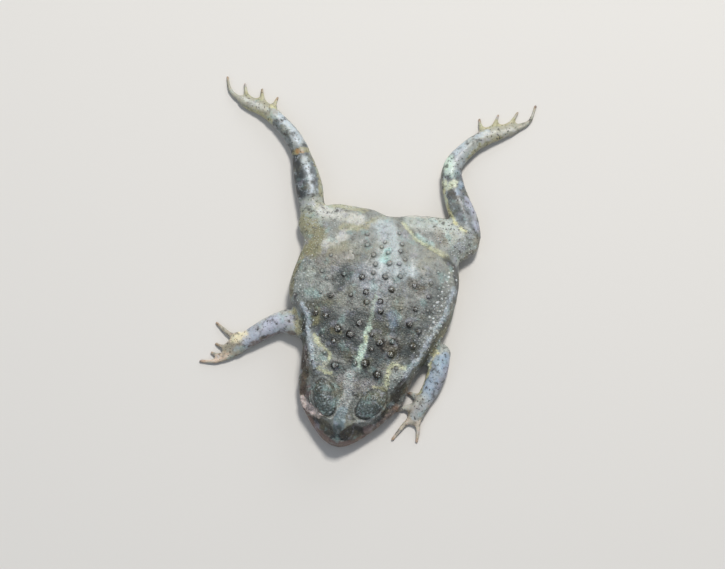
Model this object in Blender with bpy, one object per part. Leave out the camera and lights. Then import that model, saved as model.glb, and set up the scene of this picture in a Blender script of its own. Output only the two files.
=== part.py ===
"""A common toad, life size, lying flat on its belly with all four legs spread out.

Every length is in millimetres until mesh_object turns it into metres. The toad's snout points
along -Y, its left side is +X and the floor is Z = 0. The body is shaped whole, then parted with
thin cuts into the pieces that a person would name. The last step moves the toad so that the
middle of its footprint is the origin.
"""

import math
import random

import bmesh
import bpy
from mathutils import Euler, Matrix, Vector
from mathutils.bvhtree import BVHTree

MM = 0.001
GAP = 0.3
UP = Vector((0, 0, 1))

# How finely the flesh is shaped, and how many triangles it keeps
RING_POINTS = 40
CAP_ANGLES = (18, 45, 72)
BLEND_VOXEL = 0.55
BLEND_PASSES = 6
FLESH_TRIANGLES = 5000
SLIVER = 0.003

# The trunk from neck to vent: along Y, the right edge, the left edge, the back's height
# and the height of the widest line
TRUNK = (
    (-30.0, -14.0, 12.6, 11.6, 5.0),
    (-24.0, -17.6, 17.4, 13.0, 5.0),
    (-18.0, -19.8, 19.8, 14.2, 5.0),
    (-12.0, -22.8, 22.6, 15.1, 5.2),
    (-5.0, -27.2, 25.1, 15.9, 5.4),
    (1.0, -27.6, 25.7, 16.1, 5.4),
    (8.0, -26.7, 25.6, 15.5, 5.3),
    (13.0, -26.2, 24.7, 14.2, 5.0),
    (18.0, -25.4, 22.4, 12.2, 4.6),
    (23.0, -16.5, 13.0, 9.6, 4.2),
    (26.6, -4.5, 4.5, 6.6, 3.6),
)
BELLY_SINK = 1.2
TRUNK_FULLNESS = 0.82

# The head from the lip's tip to the neck: along Y, the middle along X, the lip's half width,
# the half width and the height of the ridge above the eye line, and the height of the crown
HEAD_MIDDLE = -1.6
LIP_HEIGHT = 4.6
HEAD = (
    (-49.2, -1.6, 1.0, 0.7, 6.2, 6.4),
    (-48.5, -1.6, 3.4, 1.7, 7.6, 7.9),
    (-47.0, -1.6, 5.6, 2.5, 8.7, 9.0),
    (-44.8, -1.6, 8.0, 3.6, 9.5, 9.6),
    (-42.0, -1.6, 10.6, 5.0, 10.3, 10.3),
    (-38.5, -1.4, 13.3, 6.9, 10.9, 10.9),
    (-34.5, -1.0, 15.6, 8.8, 11.3, 11.5),
    (-30.5, -0.6, 17.1, 10.7, 11.6, 12.3),
    (-26.5, -0.5, 17.9, 12.2, 12.0, 12.9),
    (-22.0, -0.4, 18.4, 13.0, 12.4, 13.4),
)

# The mouth line, level across the head and rising a little towards the jaw's corner
MOUTH_FRONT = Vector((HEAD_MIDDLE, -49.5, 3.3))
MOUTH_CORNER_Y = -29.5
MOUTH_RISE = 0.045
MOUTH_GROOVE = 0.42
MOUTH_CUT_WIDTH = 41.0
LIP_THICKNESS = 0.8
LIP_RISE = 1.2
LIP_INSET = 0.6
NOSTRIL = (1.75, -47.4, 7.6)
NOSTRIL_RADIUS = 0.42

# Eyes under heavy upper lids
EYE_RIGHT = Vector((-9.5, -36.2, 8.5))
EYE_LEFT = Vector((7.9, -34.8, 8.5))
EYE_RADIUS = 3.3
LID_RIGHT = Vector((-7.9, -36.3, 9.3))
LID_LEFT = Vector((6.8, -34.8, 9.3))
LID_RADII = (3.9, 6.3, 4.1)
LID_TURN_RIGHT = math.radians(26)
LID_TURN_LEFT = math.radians(-34)
LOWER_LID_DROP = Vector((0.4, 0.0, -3.7))
LOWER_LID_RADII = (3.4, 5.0, 2.0)

# The ear drum behind each eye, and the long gland behind the ear
EAR_Y = -29.6
EAR_RADII = (2.1, 2.1, 0.38)
GLAND_RIGHT = Vector((-14.6, -23.6, 11.2))
GLAND_LEFT = Vector((13.0, -24.2, 11.2))
GLAND_RADII = (3.0, 6.2, 2.8)
GLAND_TURN = math.radians(24)

# Limbs: the middle line, and the width and the height across it, from the body outwards
THIGH_RIGHT = (
    (-7.0, 18.8, 5.2, 17.8, 11.0),
    (-15.5, 19.3, 4.8, 16.2, 9.8),
    (-21.6, 18.7, 4.3, 15.2, 8.8),
    (-24.0, 20.0, 3.9, 12.2, 8.0),
)
THIGH_LEFT = (
    (6.6, 20.3, 5.2, 17.4, 11.0),
    (14.0, 22.0, 4.8, 16.0, 9.8),
    (20.5, 22.7, 4.4, 13.8, 9.0),
    (24.4, 24.0, 4.0, 9.6, 8.2),
)
SHANK_RIGHT = (
    (-26.1, 23.7, 3.7, 8.1, 7.6),
    (-28.4, 29.8, 3.6, 8.9, 7.4),
    (-31.1, 35.5, 3.4, 8.2, 7.0),
    (-33.3, 39.8, 3.0, 6.5, 6.2),
    (-35.0, 42.8, 2.8, 5.9, 5.8),
)
SHANK_LEFT = (
    (25.0, 25.5, 3.7, 8.0, 7.6),
    (22.4, 30.8, 3.6, 8.9, 7.4),
    (19.3, 35.6, 3.4, 8.4, 7.0),
    (16.6, 40.4, 3.2, 7.6, 6.6),
    (14.8, 45.0, 3.0, 7.0, 6.2),
)
TARSUS_RIGHT = (
    (-34.6, 42.4, 2.8, 6.0, 5.8),
    (-37.8, 45.8, 2.6, 5.7, 5.4),
    (-41.6, 48.9, 2.4, 5.3, 5.0),
    (-45.6, 51.4, 2.2, 5.0, 4.6),
)
TARSUS_LEFT = (
    (14.8, 45.2, 3.0, 7.0, 6.2),
    (14.8, 48.7, 2.7, 6.2, 5.6),
    (16.9, 52.8, 2.5, 5.8, 5.2),
    (19.8, 56.9, 2.3, 5.5, 4.8),
    (22.8, 59.7, 2.2, 5.2, 4.5),
)
FOOT_RIGHT = (
    (-45.0, 51.2, 2.2, 5.0, 4.5),
    (-49.4, 53.0, 1.8, 4.7, 3.8),
    (-53.4, 53.8, 1.5, 4.2, 3.2),
    (-56.6, 54.0, 1.2, 2.6, 2.6),
)
FOOT_LEFT = (
    (22.2, 59.4, 2.2, 5.2, 4.4),
    (26.0, 61.8, 1.8, 4.7, 3.8),
    (29.0, 63.6, 1.5, 3.8, 3.2),
    (31.4, 64.6, 1.2, 2.6, 2.6),
)
UPPER_ARM_RIGHT = (
    (-12.0, -15.0, 4.1, 8.0, 8.0),
    (-21.6, -14.4, 3.5, 7.6, 7.2),
    (-26.2, -13.6, 3.1, 7.4, 6.6),
)
UPPER_ARM_LEFT = (
    (12.0, -17.0, 4.1, 8.0, 8.0),
    (20.5, -13.6, 3.3, 7.2, 6.8),
    (24.6, -12.4, 2.9, 6.0, 6.2),
)
FOREARM_RIGHT = (
    (-25.6, -13.0, 3.1, 7.0, 6.6),
    (-30.6, -16.6, 2.9, 6.7, 6.1),
    (-35.0, -20.7, 2.5, 6.1, 5.4),
    (-38.2, -23.8, 2.2, 5.4, 4.6),
)
FOREARM_LEFT = (
    (24.9, -12.6, 3.0, 5.6, 6.4),
    (24.7, -18.6, 2.9, 6.6, 6.2),
    (23.9, -24.0, 2.6, 6.0, 5.4),
    (22.3, -29.0, 2.2, 5.2, 4.6),
    (21.4, -31.6, 2.0, 4.9, 4.0),
)
PALM_RIGHT = (
    (-37.8, -23.4, 2.2, 5.4, 4.4),
    (-40.2, -25.4, 1.7, 6.0, 3.4),
    (-41.8, -26.8, 1.2, 4.6, 2.6),
)
PALM_LEFT = (
    (21.5, -31.2, 2.1, 4.9, 4.0),
    (20.9, -33.8, 1.6, 5.4, 3.2),
    (20.7, -35.4, 1.2, 4.2, 2.6),
)
PALM_PAD_RIGHT = Vector((-39.8, -21.8, 2.3))
PALM_PAD_RADII = (1.7, 2.0, 1.4)

# Digits: the middle line from root to tip. Each tapers from its root's thickness to its tip's,
# and the two fingers that lie under the jaw are the broadest
FINGER_ROOT = 1.9
INNER_FINGER_ROOT = 2.5
FINGER_TIP = 0.9
TOE_ROOT = 1.8
TOE_TIP = 0.8
FINGERS_RIGHT = (
    ((-39.6, -22.6, 1.5), (-43.6, -21.0, 1.0), (-47.4, -18.8, 0.5)),
    ((-40.4, -25.4, 1.4), (-43.4, -26.0, 1.0), (-46.0, -25.4, 0.5)),
    ((-40.6, -27.0, 1.4), (-43.8, -28.9, 1.0), (-46.8, -28.5, 0.5)),
    ((-40.0, -27.8, 1.3), (-44.6, -30.9, 0.9), (-49.6, -31.9, 0.5)),
)
FINGERS_LEFT = (
    ((21.0, -29.2, 1.5), (18.9, -27.4, 1.1), (17.1, -27.4, 0.8)),
    ((19.8, -31.2, 1.5), (17.0, -32.2, 1.1), (14.8, -33.6, 0.7)),
    ((19.9, -34.6, 1.4), (17.8, -37.9, 0.9), (15.5, -42.7, 0.5)),
    ((21.9, -34.8, 1.4), (22.8, -38.4, 0.9), (23.1, -41.7, 0.5)),
)
TOES_RIGHT = (
    ((-45.6, 53.2, 1.4), (-46.1, 56.0, 1.0), (-45.7, 58.0, 0.5)),
    ((-49.4, 53.8, 1.4), (-50.6, 57.2, 1.0), (-51.3, 59.6, 0.5)),
    ((-53.2, 54.0, 1.4), (-55.9, 57.0, 1.0), (-57.1, 60.1, 0.5)),
    ((-55.4, 53.9, 1.3), (-59.6, 55.6, 1.0), (-61.9, 58.0, 0.8), (-63.1, 61.1, 0.5)),
    ((-50.6, 52.2, 1.2), (-54.4, 52.4, 0.9), (-57.6, 54.2, 0.5)),
)
TOES_LEFT = (
    ((21.6, 60.6, 1.4), (20.4, 63.4, 1.0), (19.6, 65.6, 0.5)),
    ((24.4, 62.2, 1.4), (24.9, 65.8, 1.0), (25.2, 68.3, 0.5)),
    ((27.8, 63.6, 1.4), (30.0, 67.0, 1.0), (31.1, 70.6, 0.5)),
    ((30.2, 64.2, 1.3), (33.7, 66.3, 1.0), (35.8, 69.2, 0.8), (36.3, 74.0, 0.5)),
    ((27.0, 61.8, 1.2), (30.4, 62.9, 0.9), (32.8, 64.9, 0.5)),
)
WEB_THICKNESS = 0.7
WEB_REACH = 0.54

# Hollows beside the spine and at the flank, where the skin lies slack: place, width and depth
HOLLOWS = (
    ((-11.0, 2.0), 5.0, 1.1),
    ((9.5, 4.0), 4.5, 0.7),
    ((-14.0, 14.0), 5.0, 0.9),
    ((13.5, 17.0), 3.2, 0.8),
)

# The biggest warts of the back: along X, along Y and the radius. Smaller ones are strewn
# between them, and over the thighs, at least their own distance apart
BIG_WARTS = (
    (-5.0, 3.2, 1.4),
    (5.0, 1.2, 1.5),
    (-2.7, -1.3, 1.4),
    (2.9, -6.3, 1.4),
    (-13.3, -11.3, 1.4),
    (-2.9, -11.8, 1.3),
    (-8.8, -14.4, 1.7),
    (-4.6, -15.6, 1.6),
    (5.7, -15.9, 1.7),
    (15.4, -14.3, 1.3),
    (2.1, -23.0, 1.5),
    (-7.1, -24.8, 1.6),
    (6.4, -24.6, 1.6),
    (9.0, -18.8, 1.3),
    (13.0, -8.4, 1.3),
    (-16.6, -10.6, 1.1),
)
BACK_CENTRE = Vector((-0.9, -4.0))
BACK_REACH = Vector((19.0, 21.0))
BACK_WARTS = 34
BACK_SPACING = 3.0
THIGH_AREAS = (
    (Vector((-18.0, 21.0)), Vector((6.5, 4.5))),
    (Vector((16.0, 23.5)), Vector((6.0, 4.0))),
)
THIGH_WARTS = 5
THIGH_SPACING = 2.4
SMALL_WART = (0.65, 1.05)
WART_SHARE_OF_HEIGHT = 0.62
KNOB_PROFILE = ((0.95, -0.7), (1.0, 0.0), (0.78, 0.62), (0.3, 0.96))
SEED = 5

# Two rows of small knobs, one along the top edge of each flank
ROW_RIGHT = ((-18.4, -18.6), (-21.0, -12.4), (-24.2, -6.6))
ROW_LEFT = ((16.9, -19.6), (19.9, -11.6), (21.7, -3.4), (22.2, 4.0), (21.7, 10.6))
ROW_STEP = 2.1
ROW_RADIUS = 0.8

# Parting cuts: the point that each passes through, its normal and its half width
CUTS = (
    (Vector((-1.0, -26.4, 6.0)), Vector((0, 0.94, 0.34)), 19.6),
    (Vector((-18.8, 21.2, 5.0)), Vector((-0.66, 0.75, 0)), 15.5),
    (Vector((16.6, 22.2, 5.0)), Vector((0.70, 0.71, 0)), 13.5),
    (Vector((-28.2, 26.4, 4.0)), Vector((-0.42, 0.91, 0)), 6.4),
    (Vector((23.4, 27.8, 4.0)), Vector((0.32, 0.95, 0)), 7.8),
    (Vector((-34.9, 42.7, 3.0)), Vector((-0.60, 0.80, 0)), 5.5),
    (Vector((13.9, 47.4, 3.0)), Vector((0.05, 1.0, 0)), 5.5),
    (Vector((-44.0, 50.5, 3.0)), Vector((-0.86, 0.51, 0)), 3.6),
    (Vector((20.6, 58.6, 3.0)), Vector((0.76, 0.65, 0)), 3.6),
    (Vector((-22.2, -14.4, 4.0)), Vector((-0.87, -0.50, 0)), 8.6),
    (Vector((22.6, -13.8, 4.0)), Vector((0.87, -0.50, 0)), 6.6),
    (Vector((-27.2, -14.3, 4.0)), Vector((-0.86, -0.51, 0)), 6.4),
    (Vector((24.6, -14.6, 4.0)), Vector((0.25, -0.97, 0)), 5.0),
    (Vector((-38.3, -23.9, 3.0)), Vector((-0.72, -0.69, 0)), 4.6),
    (Vector((22.3, -27.9, 3.0)), Vector((-0.50, -0.87, 0)), 4.2),
)
CUT_HEIGHT = 40.0

# A point in the middle of each piece of flesh, which gives the piece its name
MIDDLES = {
    "head": (-1.6, -38.0, 8.5),
    "lower_jaw": (-1.6, -38.0, 2.0),
    "trunk": (-0.5, -2.0, 8.0),
    "thigh_right": (-24.0, 20.5, 4.2),
    "thigh_left": (20.5, 23.5, 4.2),
    "shank_right": (-31.0, 34.5, 3.5),
    "shank_left": (19.5, 37.0, 3.5),
    "tarsus_right": (-39.5, 47.0, 2.6),
    "tarsus_left": (16.5, 53.0, 2.6),
    "foot_right": (-53.0, 55.0, 1.6),
    "foot_left": (29.0, 66.0, 1.6),
    "upper_arm_right": (-24.8, -14.0, 3.6),
    "upper_arm_left": (24.2, -12.2, 3.4),
    "forearm_right": (-32.5, -18.5, 3.0),
    "forearm_left": (23.8, -23.0, 3.0),
    "hand_right": (-43.0, -25.5, 1.4),
    "hand_left": (19.5, -36.0, 1.4),
}

# Skin tones from the back to the feet, and the eye
COLOURS = {
    "head": (0.20, 0.21, 0.19),
    "lower_jaw": (0.42, 0.38, 0.30),
    "trunk": (0.27, 0.28, 0.25),
    "thigh": (0.38, 0.38, 0.31),
    "shank": (0.30, 0.33, 0.33),
    "tarsus": (0.33, 0.33, 0.31),
    "foot": (0.45, 0.42, 0.30),
    "upper": (0.36, 0.37, 0.33),
    "forearm": (0.36, 0.38, 0.40),
    "hand": (0.48, 0.45, 0.36),
    "eye": (0.05, 0.035, 0.02),
}
SKIN_ROUGHNESS = 0.5
EYE_ROUGHNESS = 0.08
SHARP_ANGLE = math.radians(50)


def clear_scene():
    for obj in list(bpy.data.objects):
        bpy.data.objects.remove(obj, do_unlink=True)


def mesh_object(name, bm):
    """An object from a mesh in millimetres, with its faces turned outwards."""
    bmesh.ops.recalc_face_normals(bm, faces=bm.faces)
    bmesh.ops.scale(bm, vec=(MM, MM, MM), verts=bm.verts)
    mesh = bpy.data.meshes.new(name)
    bm.to_mesh(mesh)
    bm.free()
    obj = bpy.data.objects.new(name, mesh)
    bpy.context.scene.collection.objects.link(obj)
    return obj


def smooth_rows(rows, step, closed=False):
    """Rows along a smooth curve through the given rows, about step apart by their first three."""
    rows = [Vector(row) for row in rows]
    count = len(rows)
    spans = count if closed else count - 1
    found = []
    for i in range(spans):
        if closed:
            a, b, c, d = (rows[(i + k - 1) % count] for k in range(4))
        else:
            a, b, c, d = (rows[min(max(i + k - 1, 0), count - 1)] for k in range(4))
        reach = (Vector(c[:3]) - Vector(b[:3])).length
        parts = max(2, round(reach / step))
        for k in range(parts):
            t = k / parts
            found.append(
                0.5 * (2 * b + (c - a) * t + (2 * a - 5 * b + 4 * c - d) * t * t
                       + (3 * b - 3 * c + d - a) * t * t * t)
            )
    if not closed:
        found.append(rows[-1])
    return found


def circle(count):
    """The cosine and sine of count even turns."""
    turns = [2 * math.pi * k / count for k in range(count)]
    return [(math.cos(turn), math.sin(turn)) for turn in turns]


def loft(name, rings):
    """A closed skin over rings of equal point counts, with both ends filled."""
    bm = bmesh.new()
    loops = [[bm.verts.new(point) for point in ring] for ring in rings]
    sides = len(rings[0])
    for first, second in zip(loops, loops[1:]):
        for i in range(sides):
            j = (i + 1) % sides
            bm.faces.new((first[i], first[j], second[j], second[i]))
    bm.faces.new(loops[0])
    bm.faces.new(loops[-1])
    return mesh_object(name, bm)


def limb(name, stations, sides=20, step=1.0, cap=0.45):
    """A rounded tube along a level line: each station is X, Y, Z, the width and the height."""
    rows = smooth_rows(stations, step)
    points = [Vector(row[:3]) for row in rows]
    ahead = [(points[min(i + 1, len(points) - 1)] - points[max(i - 1, 0)]).normalized()
             for i in range(len(points))]
    rings = []

    def ring(centre, along, width, height):
        side = along.cross(UP).normalized()
        return [centre + side * (width / 2 * out) + UP * (height / 2 * rise)
                for out, rise in circle(sides)]

    swell = [math.radians(angle) for angle in CAP_ANGLES]
    for angle in swell:
        back = points[0] - ahead[0] * (cap * rows[0][3] * math.cos(angle))
        share = math.sin(angle)
        rings.append(ring(back, ahead[0], rows[0][3] * share, rows[0][4] * share))
    for row, point, along in zip(rows, points, ahead):
        rings.append(ring(point, along, row[3], row[4]))
    for angle in reversed(swell):
        front = points[-1] + ahead[-1] * (cap * rows[-1][3] * math.cos(angle))
        share = math.sin(angle)
        rings.append(ring(front, ahead[-1], rows[-1][3] * share, rows[-1][4] * share))
    return loft(name, rings)


def ellipsoid(name, centre, radii, turn=None, around=16, rows=12):
    """A ball stretched to three radii, turned and set at its centre."""
    bm = bmesh.new()
    turned = turn.to_matrix().to_4x4() if turn else Matrix.Identity(4)
    placed = Matrix.Translation(centre) @ turned @ Matrix.Diagonal((*radii, 1.0))
    bmesh.ops.create_uvsphere(bm, u_segments=around, v_segments=rows, radius=1.0, matrix=placed)
    return mesh_object(name, bm)


def slab(name, point, normal, half_width):
    """A thin sheet through a point, square to the normal, that parts two pieces."""
    bm = bmesh.new()
    across = normal.cross(UP).normalized()
    upward = across.cross(normal).normalized()
    turned = Matrix((across, normal.normalized(), upward)).transposed().to_4x4()
    stretch = Matrix.Diagonal((2 * half_width, GAP, CUT_HEIGHT, 1.0))
    bmesh.ops.create_cube(bm, size=1.0, matrix=Matrix.Translation(point) @ turned @ stretch)
    return mesh_object(name, bm)


def freeze(obj):
    """Replaces an object's mesh by what its modifiers make of it."""
    bpy.context.view_layer.update()
    made = bpy.data.meshes.new_from_object(obj.evaluated_get(bpy.context.evaluated_depsgraph_get()))
    obj.modifiers.clear()
    obj.data = made
    return obj


def combine(target, pieces, operation):
    """One Boolean of the target with all the pieces, which are then removed.

    The solver is MANIFOLD, because EXACT leaves open edges on the left shank.
    """
    group = bpy.data.collections.new("combined")
    bpy.context.scene.collection.children.link(group)
    for piece in pieces:
        bpy.context.scene.collection.objects.unlink(piece)
        group.objects.link(piece)
    boolean = target.modifiers.new("combine", "BOOLEAN")
    boolean.operation = operation
    boolean.solver = "MANIFOLD"
    boolean.operand_type = "COLLECTION"
    boolean.collection = group
    freeze(target)
    for piece in pieces:
        bpy.data.objects.remove(piece, do_unlink=True)
    bpy.data.collections.remove(group)
    return target


def without_slivers(obj):
    """Takes out the triangles with no height that the Booleans leave where shapes just meet."""
    bm = bmesh.new()
    bm.from_mesh(obj.data)
    bmesh.ops.dissolve_degenerate(bm, dist=SLIVER * MM, edges=bm.edges)
    bmesh.ops.triangulate(bm, faces=bm.faces)
    bm.to_mesh(obj.data)
    bm.free()


def trunk_form():
    """The trunk: full at the flanks, flatter on the back, and a little below the floor."""
    rings = []
    for y, right, left, top, side in smooth_rows(TRUNK, 2.0):
        middle = (left + right) / 2
        half = (left - right) / 2
        ring = []
        for out, rise in circle(RING_POINTS):
            x = middle + half * math.copysign(abs(out) ** TRUNK_FULLNESS, out)
            reach = top - side if rise > 0 else side + BELLY_SINK
            z = side + reach * math.copysign(abs(rise) ** TRUNK_FULLNESS, rise)
            ring.append(Vector((x, y, z)))
        rings.append(ring)
    return loft("trunk_form", rings)


def head_ring(y, middle, lip, ridge, ridge_height, crown):
    """One cross-section of the head: crown, ridge, cheek, lip, jaw and throat on each side."""
    half = (
        (0.0, crown),
        (0.6 * ridge, 0.5 * (crown + ridge_height)),
        (ridge, ridge_height),
        (0.45 * ridge + 0.55 * lip, 0.5 * (ridge_height + LIP_HEIGHT)),
        (lip, LIP_HEIGHT),
        (0.95 * lip, LIP_HEIGHT - 2.2),
        (0.78 * lip, 0.3),
        (0.4 * lip, -0.8),
    )
    left = [(x, z) for x, z in half]
    right = [(-x, z) for x, z in half[:0:-1]]
    outline = left + [(0.0, -1.0)] + right
    shape = [Vector((x, 0.0, z)) for x, z in outline]
    return [Vector((middle + p.x, y, p.z)) for p in even_ring(shape, RING_POINTS)]


def even_ring(corners, count):
    """count points evenly along the smooth closed curve through the corners."""
    fine = smooth_rows([tuple(p) for p in corners], 0.15, closed=True)
    lengths = [0.0]
    for a, b in zip(fine, fine[1:] + fine[:1]):
        lengths.append(lengths[-1] + (b - a).length)
    found = []
    at = 0
    for k in range(count):
        wanted = lengths[-1] * k / count
        while lengths[at + 1] < wanted:
            at += 1
        share = (wanted - lengths[at]) / max(lengths[at + 1] - lengths[at], 1e-9)
        found.append(fine[at].lerp(fine[(at + 1) % len(fine)], share))
    return found


def head_form():
    rows = smooth_rows(HEAD, 1.6)
    return loft("head_form", [head_ring(*row) for row in rows])


def lid_form(centre, turn):
    """The heavy upper lid, its long axis drawn in towards the snout."""
    return ellipsoid("lid", centre, LID_RADII, Euler((0, 0, turn)))


def lower_lid_form(eye, turn):
    """The fold below the eye."""
    drop = Vector((math.copysign(LOWER_LID_DROP.x, eye.x), LOWER_LID_DROP.y, LOWER_LID_DROP.z))
    return ellipsoid("lower_lid", eye + drop, LOWER_LID_RADII, Euler((0, 0, turn)))


def flesh_forms():
    """The overlapping forms that the body is blended from."""
    forms = [trunk_form(), head_form(), lip_form()]
    forms += [lid_form(LID_RIGHT, LID_TURN_RIGHT), lid_form(LID_LEFT, LID_TURN_LEFT)]
    forms += [lower_lid_form(EYE_RIGHT, LID_TURN_RIGHT), lower_lid_form(EYE_LEFT, LID_TURN_LEFT)]
    forms.append(ellipsoid("gland", GLAND_RIGHT, GLAND_RADII, Euler((0, math.radians(-18), GLAND_TURN))))
    forms.append(ellipsoid("gland", GLAND_LEFT, GLAND_RADII, Euler((0, math.radians(18), -GLAND_TURN))))
    forms.append(ellipsoid("pad", PALM_PAD_RIGHT, PALM_PAD_RADII))
    for line in (THIGH_RIGHT, THIGH_LEFT, SHANK_RIGHT, SHANK_LEFT, TARSUS_RIGHT, TARSUS_LEFT,
                 FOOT_RIGHT, FOOT_LEFT, UPPER_ARM_RIGHT, UPPER_ARM_LEFT, FOREARM_RIGHT,
                 FOREARM_LEFT, PALM_RIGHT, PALM_LEFT):
        forms.append(limb("limb_form", line))
    return forms


def join(objects):
    """One object that holds the meshes of all the given ones."""
    bm = bmesh.new()
    for obj in objects:
        bm.from_mesh(obj.data)
        bpy.data.objects.remove(obj, do_unlink=True)
    bmesh.ops.scale(bm, vec=(1 / MM,) * 3, verts=bm.verts)
    return mesh_object("flesh", bm)


def blended(forms):
    """The forms as one smooth body: remeshed, smoothed, pressed in at the hollows and thinned out."""
    flesh = join(forms)
    remesh = flesh.modifiers.new("blend", "REMESH")
    remesh.mode = "VOXEL"
    remesh.voxel_size = BLEND_VOXEL * MM
    soften = flesh.modifiers.new("soften", "SMOOTH")
    soften.factor = 0.5
    soften.iterations = BLEND_PASSES
    freeze(flesh)
    for (x, y), width, depth in HOLLOWS:
        for vertex in flesh.data.vertices:
            if vertex.co.z > 6.0 * MM:
                away = (vertex.co.xy / MM - Vector((x, y))).length / width
                vertex.co.z -= depth * MM * math.exp(-away * away)
    thin = flesh.modifiers.new("thin out", "DECIMATE")
    thin.ratio = FLESH_TRIANGLES / (2 * len(flesh.data.polygons))
    return freeze(flesh)


def surface_of(obj):
    """The object's surface, for setting things on it."""
    bm = bmesh.new()
    bm.from_mesh(obj.data)
    bmesh.ops.scale(bm, vec=(1 / MM,) * 3, verts=bm.verts)
    tree = BVHTree.FromBMesh(bm)
    bm.free()
    return tree


def on_back(surface, x, y):
    """The highest point of the body over a place, and the way that the skin faces there."""
    point, normal, _, _ = surface.ray_cast(Vector((x, y, 60.0)), -UP)
    return point, normal


def knob(surface, x, y, radius, sides=7):
    """A low dome on the back, its root sunk well into the skin."""
    point, normal = on_back(surface, x, y)
    tall = radius * WART_SHARE_OF_HEIGHT
    side = normal.orthogonal().normalized()
    front = normal.cross(side)
    rings = []
    for out, rise in KNOB_PROFILE:
        centre = point + normal * (rise * tall)
        rings.append([centre + (side * a + front * b) * (out * radius) for a, b in circle(sides)])
    return loft("wart", rings)


def strewn(draw, centre, reach, count, spacing, taken):
    """Places inside an oval, each at least the spacing from every other and from those taken."""
    found = []
    for _ in range(60 * count):
        turn = draw.uniform(0, 2 * math.pi)
        far = math.sqrt(draw.random())
        spot = centre + Vector((reach.x * math.cos(turn), reach.y * math.sin(turn))) * far
        if all((spot - other).length > spacing for other in taken + found):
            found.append(spot)
        if len(found) == count:
            break
    return found


def warts(surface):
    """The big warts at their own places, and the smaller ones strewn between them."""
    draw = random.Random(SEED)
    made = [knob(surface, x, y, radius) for x, y, radius in BIG_WARTS]
    taken = [Vector((x, y)) for x, y, _ in BIG_WARTS]
    spots = strewn(draw, BACK_CENTRE, BACK_REACH, BACK_WARTS, BACK_SPACING, taken)
    for centre, reach in THIGH_AREAS:
        spots += strewn(draw, centre, reach, THIGH_WARTS, THIGH_SPACING, spots)
    for spot in spots:
        made.append(knob(surface, spot.x, spot.y, draw.uniform(*SMALL_WART), 6))
    return made


def row_of_knobs(surface, corners):
    """Small knobs at even steps along a line on the back, every other one smaller."""
    line = smooth_rows([(x, y, 0.0) for x, y in corners], ROW_STEP)
    made = []
    for i, spot in enumerate(line):
        made.append(knob(surface, spot.x, spot.y, ROW_RADIUS * (1.0 if i % 2 else 0.8), 5))
    return made


def digit(stations, root, tip):
    """A tapering finger or toe that swells a little at its joint."""
    count = len(stations)
    rows = []
    for i, (x, y, z) in enumerate(stations):
        wide = root + (tip - root) * i / (count - 1)
        rows.append((x, y, z, wide, wide * 0.95))
    return limb("digit", rows, sides=6, step=2.4, cap=0.5)


def web(first, second):
    """The skin between two neighbouring toes, reaching about half way along them."""
    roots = [Vector(line[0]) for line in (first, second)]
    ends = []
    for line in (first, second):
        fine = smooth_rows(line, 0.5)
        ends.append(fine[int(len(fine) * WEB_REACH)])
    dip = (ends[0] + ends[1]) / 2 * 0.72 + (roots[0] + roots[1]) / 2 * 0.28
    corners = [roots[0], ends[0], dip, ends[1], roots[1]]
    bm = bmesh.new()
    low = [bm.verts.new((p.x, p.y, 0.25)) for p in corners]
    high = [bm.verts.new((p.x, p.y, 0.25 + WEB_THICKNESS)) for p in corners]
    bm.faces.new(low)
    bm.faces.new(high)
    for i in range(len(corners)):
        j = (i + 1) % len(corners)
        bm.faces.new((low[i], low[j], high[j], high[i]))
    bmesh.ops.triangulate(bm, faces=bm.faces)
    return mesh_object("web", bm)


def ear_drum(surface, side):
    """The round drum, a low disc on the cheek behind the eye."""
    start = Vector((HEAD_MIDDLE + side * 30.0, EAR_Y, 8.2))
    point, normal, _, _ = surface.ray_cast(start, Vector((-side, 0, 0)))
    turn = normal.to_track_quat("Z", "Y").to_euler()
    return ellipsoid("ear", point, EAR_RADII, turn, 12, 6)


def additions(surface):
    """All that stands on the blended body: digits, webs, warts, knobs and ear drums."""
    made = [digit(line, FINGER_ROOT, FINGER_TIP) for line in FINGERS_RIGHT + FINGERS_LEFT[2:]]
    made += [digit(line, INNER_FINGER_ROOT, FINGER_TIP) for line in FINGERS_LEFT[:2]]
    made += [digit(line, TOE_ROOT, TOE_TIP) for line in TOES_RIGHT + TOES_LEFT]
    for toes in (TOES_RIGHT, TOES_LEFT):
        made += [web(first, second) for first, second in zip(toes, toes[1:])]
    made += warts(surface)
    made += row_of_knobs(surface, ROW_RIGHT)
    made += row_of_knobs(surface, ROW_LEFT)
    made += [ear_drum(surface, side) for side in (1, -1)]
    return made


def mouth_height(y):
    return MOUTH_FRONT.z + MOUTH_RISE * (y - MOUTH_FRONT.y)


def mouth_line(rise=0.0):
    """Points along the edge of the mouth, from one corner round the snout to the other."""
    rows = [row for row in smooth_rows(HEAD, 1.6) if row[0] < MOUTH_CORNER_Y]
    heights = [mouth_height(row[0]) + rise for row in rows]
    left = [Vector((row[1] + row[2], row[0], high)) for row, high in zip(rows, heights)]
    right = [Vector((row[1] - row[2], row[0], high)) for row, high in zip(rows, heights)]
    return list(reversed(left)) + right


def tube(name, line, radius, sides=6):
    """A round tube along a line."""
    rings = []
    for i, point in enumerate(line):
        along = (line[min(i + 1, len(line) - 1)] - line[max(i - 1, 0)]).normalized()
        side = along.cross(UP).normalized()
        rings.append([point + (side * a + UP * b) * radius for a, b in circle(sides)])
    return loft(name, rings)


def lip_form():
    """The soft edge of the upper lip, its root sunk into the cheek."""
    line = []
    for point in mouth_line(LIP_RISE):
        inwards = Vector((HEAD_MIDDLE, point.y + 6.0, point.z)) - point
        line.append(point + inwards.normalized() * LIP_INSET)
    return tube("lip", line, LIP_THICKNESS, 10)


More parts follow.
